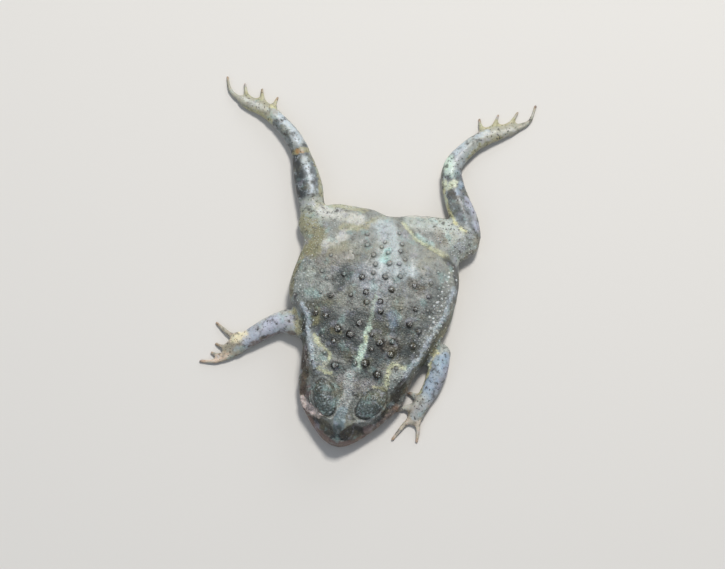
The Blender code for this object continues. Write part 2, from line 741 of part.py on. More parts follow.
def mouth_groove(surface):
    """The line of the mouth: a fine round groove in the skin from corner to corner."""
    snug = []
    for point in mouth_line():
        inside = Vector((HEAD_MIDDLE, point.y + 6.0, point.z))
        hit, _, _, _ = surface.ray_cast(point + (point - inside) * 2, inside - point)
        snug.append(hit if hit else point)
    return tube("mouth_groove", snug, MOUTH_GROOVE)


def mouth_slab():
    """The level cut that parts the lower jaw, ending in the gap behind the head."""
    neck_point, neck_normal, _ = CUTS[0]
    back = neck_point.y
    for _ in range(8):
        back = neck_point.y - (mouth_height(back) - neck_point.z) * neck_normal.z / neck_normal.y
    front = MOUTH_FRONT.y - 4.0
    bm = bmesh.new()
    middle = Vector((HEAD_MIDDLE, (front + back) / 2, mouth_height((front + back) / 2)))
    tilt = Matrix.Rotation(math.atan(MOUTH_RISE), 4, "X")
    stretch = Matrix.Diagonal((MOUTH_CUT_WIDTH, (back - front) / math.cos(math.atan(MOUTH_RISE)), GAP, 1.0))
    bmesh.ops.create_cube(bm, size=1.0, matrix=Matrix.Translation(middle) @ tilt @ stretch)
    return mesh_object("mouth_slab", bm)


def removals(surface):
    """All that is cut from the body: below the floor, sockets, nostrils, mouth and partings."""
    made = [slab(f"parting_{i}", *cut) for i, cut in enumerate(CUTS)]
    made.append(mouth_slab())
    made.append(mouth_groove(surface))
    for side, eye in ((-1, EYE_RIGHT), (1, EYE_LEFT)):
        made.append(ellipsoid("socket", eye, (EYE_RADIUS + GAP,) * 3, None, 18, 12))
        out, y, z = NOSTRIL
        place = Vector((HEAD_MIDDLE + side * out, y, z))
        hit, _, _, _ = surface.find_nearest(place)
        made.append(ellipsoid("nostril", hit, (NOSTRIL_RADIUS,) * 3, None, 8, 6))
    bm = bmesh.new()
    below = Matrix.Translation((0, 0, -10.0)) @ Matrix.Diagonal((300.0, 300.0, 20.0, 1.0))
    bmesh.ops.create_cube(bm, size=1.0, matrix=below)
    made.append(mesh_object("below_floor", bm))
    return made


def closed_pieces(obj):
    """The separate closed surfaces of an object, as new meshes."""
    bm = bmesh.new()
    bm.from_mesh(obj.data)
    bmesh.ops.triangulate(bm, faces=bm.faces)
    bm.verts.ensure_lookup_table()
    left = set(bm.verts)
    found = []
    while left:
        stack = [left.pop()]
        island = set(stack)
        while stack:
            for edge in stack.pop().link_edges:
                for vertex in edge.verts:
                    if vertex in left:
                        left.remove(vertex)
                        island.add(vertex)
                        stack.append(vertex)
        found.append(island)
    meshes = []
    for island in found:
        order = {vertex: i for i, vertex in enumerate(sorted(island, key=lambda v: v.index))}
        faces = {face for vertex in island for face in vertex.link_faces}
        mesh = bpy.data.meshes.new("piece")
        corners = [[order[v] for v in f.verts] for f in sorted(faces, key=lambda f: f.index)]
        mesh.from_pydata([v.co.copy() for v in order], [], corners)
        meshes.append(mesh)
    bm.free()
    return meshes


def volume(mesh):
    bm = bmesh.new()
    bm.from_mesh(mesh)
    size = bm.calc_volume(signed=True)
    bm.free()
    return size


def middle_of(mesh):
    points = [vertex.co for vertex in mesh.vertices]
    low = Vector([min(p[i] for p in points) for i in range(3)])
    high = Vector([max(p[i] for p in points) for i in range(3)])
    return (low + high) / 2 / MM


def finished_node(name, mesh, colour, roughness):
    """A named piece with its own finish."""
    obj = bpy.data.objects.new(name, mesh)
    bpy.context.scene.collection.objects.link(obj)
    finish = bpy.data.materials.new(name)
    finish.use_nodes = True
    shader = finish.node_tree.nodes["Principled BSDF"]
    shader.inputs["Base Color"].default_value = (*colour, 1.0)
    shader.inputs["Roughness"].default_value = roughness
    mesh.materials.clear()
    mesh.materials.append(finish)
    return obj


def part_flesh(flesh):
    """Names the pieces that the cuts leave, each by the middle that it lies nearest to."""
    meshes = sorted(closed_pieces(flesh), key=volume, reverse=True)
    bpy.data.objects.remove(flesh, do_unlink=True)
    chosen = {}
    for mesh in meshes:
        centre = middle_of(mesh)
        distances = {name: (centre - Vector(spot)).length for name, spot in MIDDLES.items()}
        name = min(distances, key=distances.get)
        if name not in chosen:
            chosen[name] = mesh
    made = []
    for name, mesh in chosen.items():
        colour = COLOURS.get(name) or COLOURS[name.split("_")[0]]
        made.append(finished_node(name, mesh, colour, SKIN_ROUGHNESS))
    return made


def eyes():
    made = []
    for centre, name in ((EYE_LEFT, "eye_left"), (EYE_RIGHT, "eye_right")):
        ball = ellipsoid("eyeball", centre, (EYE_RADIUS,) * 3, None, 18, 12)
        mesh = ball.data.copy()
        bpy.data.objects.remove(ball, do_unlink=True)
        made.append(finished_node(name, mesh, COLOURS["eye"], EYE_ROUGHNESS))
    return made


def centre_footprint(nodes):
    """Moves the toad so that the middle of its footprint is the origin."""
    points = [vertex.co for obj in nodes for vertex in obj.data.vertices]
    middle_x = (min(p.x for p in points) + max(p.x for p in points)) / 2
    middle_y = (min(p.y for p in points) + max(p.y for p in points)) / 2
    for obj in nodes:
        obj.data.transform(Matrix.Translation((-middle_x, -middle_y, 0.0)))
        obj.data.shade_smooth()
        obj.data.set_sharp_from_angle(angle=SHARP_ANGLE)
    print(f"the footprint's middle was at {middle_x / MM:.3f}, {middle_y / MM:.3f} mm")


def main():
    clear_scene()
    flesh = blended(flesh_forms())
    surface = surface_of(flesh)
    combine(flesh, additions(surface), "UNION")
    combine(flesh, removals(surface), "DIFFERENCE")
    without_slivers(flesh)
    nodes = part_flesh(flesh) + eyes()
    centre_footprint(nodes)
    for obj in nodes:
        print(f"{obj.name}: {len(obj.data.polygons)} triangles")


main()
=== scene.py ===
# %% [markdown]
# # A common toad, lying flat
#
# The toad is one soft body, so nearly all of this notebook is about a single skin: how it is
# drawn over the solids, how its warts, lids and folds are raised, and how it is painted.
# The solids come first. They are loaded as a fixed frame and are never moved.

import math
import random

import bpy
import numpy as np
from mathutils import Matrix, Vector, noise
from mathutils.bvhtree import BVHTree
from mathutils.kdtree import KDTree


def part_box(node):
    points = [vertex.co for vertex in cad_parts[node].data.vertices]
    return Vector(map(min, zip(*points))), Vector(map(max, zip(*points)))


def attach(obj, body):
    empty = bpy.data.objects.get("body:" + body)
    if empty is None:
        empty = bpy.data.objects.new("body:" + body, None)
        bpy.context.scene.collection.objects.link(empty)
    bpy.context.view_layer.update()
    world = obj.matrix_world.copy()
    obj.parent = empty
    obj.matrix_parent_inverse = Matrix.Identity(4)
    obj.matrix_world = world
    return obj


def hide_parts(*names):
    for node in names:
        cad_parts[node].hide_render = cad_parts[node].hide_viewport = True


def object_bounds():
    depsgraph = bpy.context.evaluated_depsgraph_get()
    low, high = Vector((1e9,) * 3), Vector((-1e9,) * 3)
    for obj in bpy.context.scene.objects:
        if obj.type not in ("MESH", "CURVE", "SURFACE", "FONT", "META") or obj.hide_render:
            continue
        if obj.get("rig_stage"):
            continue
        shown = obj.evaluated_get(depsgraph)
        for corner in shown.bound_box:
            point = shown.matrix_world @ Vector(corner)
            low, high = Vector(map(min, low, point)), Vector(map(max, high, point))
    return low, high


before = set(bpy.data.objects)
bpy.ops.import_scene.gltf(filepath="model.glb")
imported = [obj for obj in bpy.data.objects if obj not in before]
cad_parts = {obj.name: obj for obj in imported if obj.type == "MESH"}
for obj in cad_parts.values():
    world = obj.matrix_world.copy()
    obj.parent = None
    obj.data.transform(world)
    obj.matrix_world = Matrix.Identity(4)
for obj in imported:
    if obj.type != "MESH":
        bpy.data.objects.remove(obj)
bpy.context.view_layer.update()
print("solids:", sorted(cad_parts))

# %% [markdown]
# ## Millimetres from the toad's own middle line
#
# A toad is easier to think of in millimetres, with its spine near X = 0, than in metres from the
# middle of its footprint. The left eyeball is a ball that both ways of counting know, so the
# distance between its two centres is the way from one to the other.

# %% Go between the model's metres and the toad's own millimetres
MM = 0.001
EYE_LEFT = Vector((7.9, -34.8, 8.5))
EYE_RIGHT = Vector((-9.5, -36.2, 8.5))
EYE_RADIUS = 3.3

eye_low, eye_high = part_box("eye_left")
SHIFT = (eye_low + eye_high) / 2 - EYE_LEFT * MM


def to_model(x, y, z=0.0):
    """A place in the toad's own millimetres as a point of the model, in metres."""
    return Vector((x, y, z)) * MM + SHIFT


def deselect():
    """Leaves nothing selected, because an operator acts on all that is."""
    bpy.ops.object.select_all(action="DESELECT")


def make_active(obj):
    """Selects one object alone."""
    deselect()
    obj.select_set(True)
    bpy.context.view_layer.objects.active = obj


def open_edit(obj, action="SELECT"):
    """Opens one object in edit mode, with all of it selected or, with DESELECT, none."""
    make_active(obj)
    bpy.ops.object.mode_set(mode="EDIT")
    bpy.ops.mesh.select_all(action=action)


def close_edit():
    """Goes back to object mode."""
    bpy.ops.object.mode_set(mode="OBJECT")


def add_object(name, data):
    """A new object that shows the given data."""
    obj = bpy.data.objects.new(name, data)
    bpy.context.scene.collection.objects.link(obj)
    return obj


def apply_modifier(obj, kind, **settings):
    """Adds a modifier, sets it up and applies it."""
    modifier = obj.modifiers.new(kind.title(), kind)
    for name, value in settings.items():
        setattr(modifier, name, value)
    make_active(obj)
    bpy.ops.object.modifier_apply(modifier=modifier.name)


print("the toad's own zero is at", [round(v, 5) for v in SHIFT])

# %% [markdown]
# ## The camera
#
# The toad is seen from almost straight above, from the side of its snout, with its body turned a
# little out of the picture's upright. A long lens far away keeps the flat pose flat. One pixel of
# the picture is about a third of a millimetre on the floor.

# %% Place the camera
PICTURE_WIDE = 725
PICTURE_TALL = 569
MM_PER_PIXEL = 0.32
CAMERA_RISE = math.radians(78)
BODY_TURN = math.radians(13)
BODY_PIXEL = (375.0, 300.0)
CAMERA_FAR = 0.95
SENSOR = 36.0
CLIP_START = 0.01
CLIP_END = 20.0

right = Vector((math.cos(BODY_TURN), math.sin(BODY_TURN), 0.0))
ahead = Vector((-math.sin(BODY_TURN), math.cos(BODY_TURN), 0.0))
towards_camera = (Vector((0, 0, math.sin(CAMERA_RISE))) - ahead * math.cos(CAMERA_RISE)).normalized()
across_mm = (PICTURE_WIDE / 2 - BODY_PIXEL[0]) * MM_PER_PIXEL
along_mm = (BODY_PIXEL[1] - PICTURE_TALL / 2) * MM_PER_PIXEL / math.sin(CAMERA_RISE)
aim = to_model(0, 0) + (right * across_mm + ahead * along_mm) * MM

camera_data = bpy.data.cameras.new("camera")
camera_data.sensor_width = SENSOR
camera_data.lens = SENSOR * CAMERA_FAR / (PICTURE_WIDE * MM_PER_PIXEL * MM)
camera_data.clip_start = CLIP_START
camera_data.clip_end = CLIP_END
camera = add_object("camera", camera_data)
turned = Matrix((right, towards_camera.cross(right), towards_camera)).transposed()
camera.matrix_world = Matrix.Translation(aim + towards_camera * CAMERA_FAR) @ turned.to_4x4()
bpy.context.scene.camera = camera
print(f"lens {camera_data.lens:.0f} mm, {CAMERA_FAR} m away")

# %% [markdown]
# ## Floor and light
#
# The floor is a wide pale sheet, so that no edge shows from any side. The key light stands high
# behind the toad, as the sun does in the open. It is the smallest of the three panels, so the
# shadow that it throws towards the snout has a fairly clear edge. Two larger and weaker panels
# and a pale sky fill that shadow in.

# %% Lay the floor
FLOOR_SIZE = 8.0
FLOOR_CUTS = 6
FLOOR_COLOUR = (0.66, 0.64, 0.61)
FLOOR_ROUGHNESS = 0.85

bpy.ops.mesh.primitive_plane_add(size=FLOOR_SIZE, location=(0, 0, 0))
floor = bpy.context.object
floor.name = "floor"
open_edit(floor)
bpy.ops.mesh.subdivide(number_cuts=FLOOR_CUTS)
close_edit()
floor_finish = bpy.data.materials.new("pale floor")
floor_finish.use_nodes = True
floor_shader = floor_finish.node_tree.nodes["Principled BSDF"]
floor_shader.inputs["Base Color"].default_value = (*FLOOR_COLOUR, 1.0)
floor_shader.inputs["Roughness"].default_value = FLOOR_ROUGHNESS
floor.data.materials.append(floor_finish)
floor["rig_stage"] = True
print("floor", FLOOR_SIZE, "m wide")

# %% Hang the lights
KEY = {"from": (0.07, 0.60, 1.05), "size": 0.24, "power": 12.6, "colour": (1.0, 0.97, 0.92)}
FILL = {"from": (-0.6, -0.7, 0.8), "size": 0.9, "power": 1.8, "colour": (0.88, 0.94, 1.0)}
BACK = {"from": (0.25, 1.1, 0.5), "size": 0.5, "power": 2.5, "colour": (0.95, 0.98, 1.0)}
SKY_COLOUR = (0.80, 0.88, 1.0)
SKY_STRENGTH = 0.34


def hang_panel(name, panel):
    """A square soft light that looks at the toad."""
    light = bpy.data.lights.new(name, "AREA")
    light.size = panel["size"]
    light.energy = panel["power"]
    light.color = panel["colour"]
    lamp = add_object(name, light)
    lamp.location = panel["from"]
    lamp.rotation_euler = (-Vector(panel["from"])).to_track_quat("-Z", "Y").to_euler()


for name, panel in (("key", KEY), ("fill", FILL), ("back", BACK)):
    hang_panel(name, panel)
world = bpy.data.worlds.new("pale sky")
bpy.context.scene.world = world
world.use_nodes = True
sky = world.node_tree.nodes["Background"]
sky.inputs["Color"].default_value = (*SKY_COLOUR, 1.0)
sky.inputs["Strength"].default_value = SKY_STRENGTH
bpy.context.scene.view_settings.view_transform = "Standard"
print("three panels and a pale sky")

# %% [markdown]
# ## One skin over all the flesh
#
# The solids are parted by cuts 0.3 mm wide, and a real toad's skin runs on across
# them. It could be sculpted from nothing, but then it would not keep the solids' outline. So
# copies of the flesh solids are swollen until the cuts close and remeshed into one even surface,
# which is then shrunk back to where the solids were. A ball fills each eye socket first, because
# the lids are shaped over the eyes later.

# %% Copy the flesh solids
FLESH = [name for name in sorted(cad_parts) if not name.startswith("eye_")]
WELD = 0.000001


def welded_copy(node):
    """A copy of a solid with its loose triangles joined."""
    copy = node.copy()
    copy.data = node.data.copy()
    copy.parent = None
    bpy.context.scene.collection.objects.link(copy)
    for key in [key for key in copy.keys() if key.startswith("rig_")]:
        del copy[key]
    open_edit(copy)
    bpy.ops.mesh.remove_doubles(threshold=WELD)
    close_edit()
    return copy


copies = [welded_copy(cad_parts[name]) for name in FLESH]
corners = []
triangles = []
owner = []
for number, copy in enumerate(copies):
    first = len(corners)
    corners += [v.co.copy() for v in copy.data.vertices]
    triangles += [[first + i for i in p.vertices] for p in copy.data.polygons]
    owner += [number] * len(copy.data.polygons)
solids = BVHTree.FromPolygons(corners, triangles)
print(len(copies), "solids,", len(triangles), "faces")

# %% Swell, join and remesh them
SOCKET_RADIUS = 3.6
SWELL = 0.36
SKIN_VOXEL = 0.45

for eye in (EYE_RIGHT, EYE_LEFT):
    deselect()
    bpy.ops.mesh.primitive_uv_sphere_add(
        segments=48, ring_count=24, radius=SOCKET_RADIUS * MM, location=to_model(*eye)
    )
    bpy.ops.object.transform_apply(location=True, rotation=True, scale=True)
    copies.append(bpy.context.object)
for copy in copies:
    apply_modifier(copy, "DISPLACE", strength=SWELL * MM, mid_level=0.0, direction="NORMAL")
deselect()
for copy in copies:
    copy.select_set(True)
bpy.context.view_layer.objects.active = copies[0]
bpy.ops.object.join()
skin = bpy.context.object
skin.name = "skin"
skin.data.name = "skin"
skin.data.materials.clear()
apply_modifier(skin, "REMESH", mode="VOXEL", voxel_size=SKIN_VOXEL * MM, use_smooth_shade=True)
print("skin:", len(skin.data.polygons), "faces after the remesh")

# %% [markdown]
# ## Reading and moving the skin
#
# From here the skin's points are moved as a sculptor's brushes move them. The points are read
# into arrays, in the toad's own millimetres, so that one rule can move them all at once. Most
# rules fade out over some part of the skin. Such a step is given two numbers: where the brush
# begins to act, and where it acts in full.

# %% Helpers that read and write the skin's points


def read_rows(items, name, wide, kind=np.float32):
    """One row of numbers for each point, edge or face of a mesh."""
    flat = np.empty(len(items) * wide, kind)
    items.foreach_get(name, flat)
    return flat.reshape(-1, wide)


def read_points(obj):
    """All the points of a mesh in the toad's own millimetres."""
    return (read_rows(obj.data.vertices, "co", 3).astype(float) - np.array(SHIFT)) / MM


def write_points(obj, points):
    flat = (points * MM + np.array(SHIFT)).astype(np.float32)
    obj.data.vertices.foreach_set("co", flat.ravel())
    obj.data.update()


def read_normals(obj):
    return read_rows(obj.data.vertices, "normal", 3).astype(float)


def read_edges(obj):
    return read_rows(obj.data.edges, "vertices", 2, np.int32)


def evened(values, edges, passes, share=0.5):
    """Values in which each point has taken part of its neighbours' mean, pass after pass."""
    values = np.array(values, float)
    if values.ndim == 2:
        return np.stack([evened(column, edges, passes, share) for column in values.T], axis=1)
    count = np.maximum(np.bincount(edges.ravel(), minlength=len(values)), 1)
    for _ in range(passes):
        total = np.bincount(edges[:, 0], values[edges[:, 1]], len(values))
        total += np.bincount(edges[:, 1], values[edges[:, 0]], len(values))
        values = values * (1 - share) + total / count * share
    return values


def push(obj, amount):
    """Moves each point along its normal by its own number of millimetres."""
    points = read_points(obj) + read_normals(obj) * amount[:, None]
    points[:, 2] = np.maximum(points[:, 2], 0.0)
    write_points(obj, points)


print("points can be read, evened and pushed")

# %% Helpers that say how near a point is to a mark


def bell(distance, width):
    """One at no distance, and almost nothing past twice the width."""
    return np.exp(-(distance / width) ** 2)


def step(values, low, high):
    """Nothing below low, one above high, and smooth between."""
    share = np.clip((values - low) / (high - low), 0, 1)
    return share * share * (3 - 2 * share)


def flat_distance(points, x, y):
    """How far each point is, seen from above, from one place."""
    return np.hypot(points[:, 0] - x, points[:, 1] - y)


def line_distance(points, line):
    """How far each point is, seen from above, from a line through the given places."""
    best = np.full(len(points), 1e9)
    for a, b in zip(line[:-1], line[1:]):
        a = np.array(a, float)
        along = np.array(b, float) - a
        share = np.clip(((points[:, :2] - a) @ along) / (along @ along), 0, 1)
        near = a + share[:, None] * along
        best = np.minimum(best, np.linalg.norm(points[:, :2] - near, axis=1))
    return best


def grain(points, size, seed=0.0, stretch=(1, 1, 1)):
    """Smooth noise from about -1 to 1, with bumps about as far apart as size."""
    lift = Vector((seed, 3.7 * seed, -1.3 * seed))
    scaled = points / (size * np.array(stretch))
    return np.array([noise.noise(Vector(p) + lift) for p in scaled])


def owners_of(obj):
    """The number, in FLESH, of the solid that lies nearest each point."""
    return np.array([owner[solids.find_nearest(vertex.co)[2]] for vertex in obj.data.vertices])


def owned_by(owners, *starts):
    """One for the points whose solid has a name with one of the given starts."""
    chosen = np.array([name.startswith(starts) for name in FLESH])
    return chosen[owners].astype(float)


print("bells, steps, lines and grain")

# %% [markdown]
# ## Back to the solids' own outline
#
# The remesh leaves small steps, so the skin is smoothed before it is shrunk. Fingers and toes are
# so slim that smoothing would eat them, so they get less of it, and they are shrunk less too. The
# solids' coarse knobs are smoothed away with many passes, since finer warts take their place.

# %% Smooth and shrink the skin
SMOOTH_PASSES = 6
DIGIT_PASSES = 2
DIGIT_KEEPS = 0.12
KNOB_PASSES = 70
GLAND_PASSES = 35
MASK_PASSES = 4
GLANDS = ((-14.6, -23.6), (13.0, -24.2))
GLAND_REACH = 6.5


def gland_mask(points):
    """Near one at the two long glands behind the eyes, seen from above."""
    return sum(bell(flat_distance(points, x, y), GLAND_REACH) for x, y in GLANDS)


def calm(points, passes, share):
    """Points drawn towards their evened places, each by its own share."""
    return points + (evened(points, edges, passes) - points) * share[:, None]


edges = read_edges(skin)
owners = owners_of(skin)
digits = evened(owned_by(owners, "hand", "foot"), edges, MASK_PASSES)[:, None]
points = read_points(skin)
firm = evened(points, edges, DIGIT_PASSES)
soft = evened(points, edges, SMOOTH_PASSES)
write_points(skin, firm * digits + soft * (1 - digits))
push(skin, -SWELL + DIGIT_KEEPS * digits[:, 0])
body = evened(owned_by(owners, "trunk", "thigh"), edges, MASK_PASSES)
points = read_points(skin)
gland = gland_mask(points)
knobbed = body * step(points[:, 2], 4.0, 6.5) * (1 - np.clip(gland * 1.6, 0, 1))
points = calm(points, KNOB_PASSES, knobbed)
swollen = np.clip(gland, 0, 1) * step(points[:, 2], 6.0, 9.0) * step(points[:, 1], -31.0, -28.5)
points = calm(points, GLAND_PASSES, swollen)
points[:, 2] = np.maximum(points[:, 2], 0.0)
write_points(skin, points)
print("skin smoothed, from", points.min(0).round(1), "to", points.max(0).round(1), "mm")

# %% [markdown]
# ## Faces where they are needed
#
# The flat underside can do with few faces, and the head needs more than the rest for its lids,
# lips and nostrils. Decimate and subdivide act on chosen faces only, so the faces are picked by
# their place and the way they point.

# %% Thin the underside
UNDERSIDE_SHARE = 0.1
UNDERSIDE_TOP = 0.15


def pick(obj, kind, items, chosen):
    """Selects the chosen points or faces alone, and leaves edit mode open."""
    open_edit(obj, "DESELECT")
    bpy.ops.mesh.select_mode(type=kind)
    close_edit()
    items.foreach_set("select", chosen)
    bpy.ops.object.mode_set(mode="EDIT")


def pick_faces(obj, test):
    """Picks the faces whose middle, in the toad's millimetres, and normal pass a test."""
    faces = obj.data.polygons
    middles = (read_rows(faces, "center", 3) - np.array(SHIFT)) / MM
    chosen = test(middles, read_rows(faces, "normal", 3))
    pick(obj, "FACE", faces, chosen)
    return int(chosen.sum())


def on_underside(middles, normals):
    return (middles[:, 2] < UNDERSIDE_TOP) & (normals[:, 2] < -0.95)


thinned = pick_faces(skin, on_underside)
bpy.ops.mesh.decimate(ratio=UNDERSIDE_SHARE)
close_edit()
print(thinned, "faces thinned")

# %% Refine the head, and most of all round the eyes
HEAD_BACK = -28.0
HEAD_LOW = 1.5
HEAD_MIDDLE = -1.6
HEAD_HALF_WIDE = 17.5
EYE_REACH = 4.5
FACE_PASSES = 2


def refine(obj, test):
    """Splits each picked face in four."""
    picked = pick_faces(obj, test)
    bpy.ops.mesh.subdivide(number_cuts=1, smoothness=0)
    close_edit()
    return picked


def on_head(middles, normals):
    across = np.abs(middles[:, 0] - HEAD_MIDDLE)
    return (middles[:, 1] < HEAD_BACK) & (middles[:, 2] > HEAD_LOW) & (across < HEAD_HALF_WIDE)


def round_eye(eye):
    """A test for the faces near an eye that look to that eye's side."""
    middle = np.array(eye)

    def looks_out(middles, normals):
        away = np.linalg.norm(middles - middle, axis=1)
        return (away < EYE_REACH) & (normals[:, 0] * middle[0] > 0)

    return looks_out


refined = [refine(skin, test) for test in (on_head, round_eye(EYE_RIGHT), round_eye(EYE_LEFT))]
edges = read_edges(skin)
points = read_points(skin)
face_area = step(-points[:, 1], 27.0, 29.0) * step(points[:, 2], 0.6, 1.2)
write_points(skin, calm(points, FACE_PASSES, face_area))
print(refined, "faces split")
print("skin:", sum(len(p.vertices) - 2 for p in skin.data.polygons), "triangles")

# %% [markdown]
# ## The slack body
#
# A toad lying flat is a loose bag of skin over a few bones. The two long bones of the pelvis
# show as low ridges that meet at the vent, with hollows beside them, and a fold runs where each
# thigh leaves the body. Along each flank stands a sharp edge, paler than the back. All of these
# are strokes: a line across the body, how wide it is, and how far it lifts or sinks the skin.

# %% Ridges, hollows and folds of the body
BODY_STROKES = {
    "left flank edge": (((15.2, -24.5), (18.6, -17.0), (20.2, -11.0), (22.0, -6.3), (23.5, -1.5),
                         (23.4, 2.2), (23.6, 8.0), (22.0, 13.5)), 0.95, 0.6),
    "under the left edge": (((20.6, -17.0), (24.6, -7.0), (25.9, 1.0), (25.4, 9.0)), 1.2, -0.4),
    "inside the left edge": (((15.5, -16.5), (19.2, -6.5), (20.8, 2.2), (20.6, 9.0)), 1.8, -0.3),
    "right flank edge": (((-15.2, -22.5), (-17.4, -18.5), (-18.4, -15.0), (-19.0, -12.2), (-21.8, -8.6)),
                         0.85, 0.6),
    "under the right edge": (((-19.0, -20.0), (-20.4, -13.4), (-24.0, -8.8)), 1.0, -0.45),
    "left pelvic bone": (((7.2, 1.5), (5.4, 8.5), (3.2, 15.5), (1.2, 23.5)), 1.7, 0.55),
    "right pelvic bone": (((-6.6, 1.0), (-5.2, 8.5), (-3.0, 15.5), (0.2, 23.5)), 1.7, 0.5),
    "left of the pelvis": (((12.7, 3.6), (10.3, 8.0), (9.0, 12.0)), 2.6, -0.7),
    "right of the pelvis": (((-11.6, 0.2), (-9.0, 5.0), (-8.6, 9.5)), 2.4, -0.75),
    "middle of the rump": (((0.4, 6.0), (0.4, 13.5)), 1.8, -0.25),
    "spine": (((0.6, -20.0), (0.4, -9.0), (0.2, 1.0)), 1.6, 0.18),
    "left shoulder blade": (((7.0, -19.6), (12.4, -15.4)), 2.6, 0.45),
    "right shoulder blade": (((-7.4, -20.0), (-12.4, -15.8)), 2.4, 0.4),
    "behind the left shoulder": (((6.0, -13.2), (14.0, -10.4)), 1.6, -0.35),
    "behind the right shoulder": (((-6.0, -13.0), (-13.5, -9.8)), 1.6, -0.35),
    "left thigh fold": (((2.2, 25.8), (8.4, 20.4), (14.3, 18.2), (21.0, 16.0)), 0.6, -0.5),
    "above the left fold": (((5.2, 21.2), (9.4, 17.8), (15.0, 16.2), (20.6, 14.0)), 1.2, 0.35),
    "right thigh fold": (((-1.8, 26.0), (-5.8, 24.6), (-9.6, 20.2), (-12.1, 18.5)), 0.6, -0.4),
    "right groin": (((-12.1, 18.5), (-15.7, 14.6), (-21.4, 10.4)), 0.9, -0.3),
    "above the right fold": (((-4.6, 18.8), (-8.6, 15.2), (-15.2, 12.4), (-20.4, 8.4)), 1.2, 0.3),
    "right thigh crease": (((-11.0, 20.4), (-17.0, 18.6), (-24.0, 18.4)), 0.5, -0.25),
    "right waist": (((-22.5, 9.5), (-25.0, 7.4)), 1.2, -0.5),
}


def stroke(points, normals, strokes):
    """How far a table of strokes lifts each point. Strokes leave the underside alone."""
    amount = np.zeros(len(points))
    above = step(normals[:, 2], -0.1, 0.35) * step(points[:, 2], 1.0, 3.0)
    for line, width, height in strokes.values():
        amount += height * bell(line_distance(points, line), width) * above
    return amount


TRUNK_PASSES = 6
points = read_points(skin)
owners = owners_of(skin)
trunk = evened(owned_by(owners, "trunk", "thigh", "head"), edges, TRUNK_PASSES)
push(skin, stroke(points, read_normals(skin), BODY_STROKES) * trunk)
print(len(BODY_STROKES), "strokes over the body")

# %% Lumps of slack skin, and slanting creases over the middle of the back
LUMPS = ((7.0, 1.0, 0.22), (2.6, 2.0, 0.12), (1.2, 3.0, 0.05))  # size, seed and height
CREASE_SLANT = math.radians(35)
CREASE_GRAIN = (3.2, 1.1, 3.0)  # long along the crease, short across it
CREASE_DEEP = 0.4
CREASE_MIDDLE = (-1.5, -3.0)
CREASE_REACH = 9.0

slack = sum(grain(points, size, seed) * height for size, seed, height in LUMPS)
push(skin, slack * trunk * step(points[:, 2], 1.5, 4.0) * step(points[:, 1], -31.0, -27.0))
turned = points @ np.array(Matrix.Rotation(CREASE_SLANT, 3, "Z"))
creases = -np.abs(grain(turned, 1.0, 12.0, CREASE_GRAIN))
middle = bell(flat_distance(points, *CREASE_MIDDLE), CREASE_REACH)
push(skin, creases * CREASE_DEEP * middle * step(points[:, 2], 6.0, 9.0))
print("lumps of", [size for size, _, _ in LUMPS], "mm, creases", CREASE_DEEP, "mm deep")

# %% [markdown]
# ## The head
#
# Seen from above, the head is a blunt triangle. A sharp edge runs from each eyelid to the tip of
# the snout, and the cheek below it falls away dark. The lids are ovals with folds that follow
# their rim, a thick fold runs below the eye, and the mouth is one long line with soft lips.

# %% Edges of the snout, cheeks, knobs and the folds below the eyes
HEAD_STROKES = {
    "left snout edge": (((8.6, -38.8), (7.0, -40.3), (3.8, -41.4), (2.1, -42.3), (0.4, -44.3),
                         (-0.8, -46.2)), 0.5, 0.65),
    "right snout edge": (((-8.0, -41.2), (-4.6, -42.3), (-3.1, -44.6), (-2.4, -46.4)), 0.5, 0.65),
    "left cheek": (((6.0, -42.8), (3.2, -43.6), (1.6, -44.8), (0.4, -46.4)), 1.25, -0.7),
    "right cheek": (((-8.8, -43.0), (-6.2, -44.3), (-4.2, -46.0)), 1.25, -0.7),
    "between the edges": (((-2.6, -42.4), (-1.6, -44.8)), 1.2, -0.3),
    "forehead": (((-1.4, -40.5), (-0.8, -34.0)), 2.0, -0.3),
    "right under-eye fold": (((-15.6, -37.2), (-13.8, -39.5), (-11.4, -41.0), (-8.3, -42.0)), 0.7, 0.55),
    "left under-eye fold": (((13.4, -34.6), (11.8, -37.8), (9.8, -39.9)), 0.75, 0.4),
    "above the left fold": (((12.8, -34.2), (11.2, -37.0)), 0.5, -0.25),
    "knob right of the crown": (((-4.4, -31.6), (-3.8, -32.4)), 1.1, 0.35),
    "knob left of the crown": (((2.6, -30.4), (3.4, -30.9)), 1.1, 0.3),
    "knob of the nape": (((-1.4, -27.8), (-0.6, -28.2)), 1.1, 0.3),
    "knob between the lids": (((-1.8, -35.0), (-1.2, -35.8)), 0.9, 0.25),
}

points = read_points(skin)
crown = step(-points[:, 1], 30.0, 32.0)
push(skin, stroke(points, read_normals(skin), HEAD_STROKES) * crown)
print(len(HEAD_STROKES), "strokes over the head")

# %% Part the lips
MOUTH_FRONT = Vector((-1.6, -49.4, 3.3))
MOUTH_RISE = 0.045
MOUTH_CORNER = -29.8
MOUTH_WIDE = 0.24
MOUTH_DEEP = 0.5
LIP_LINES = ((0.75, 0.5, 0.2), (-0.7, 0.45, 0.12))  # height over the mouth, width and swell


def mouth_height(y):
    """The mouth line rises a little from the snout's tip to the jaw's corner."""
    return MOUTH_FRONT.z + MOUTH_RISE * (y - MOUTH_FRONT.y)


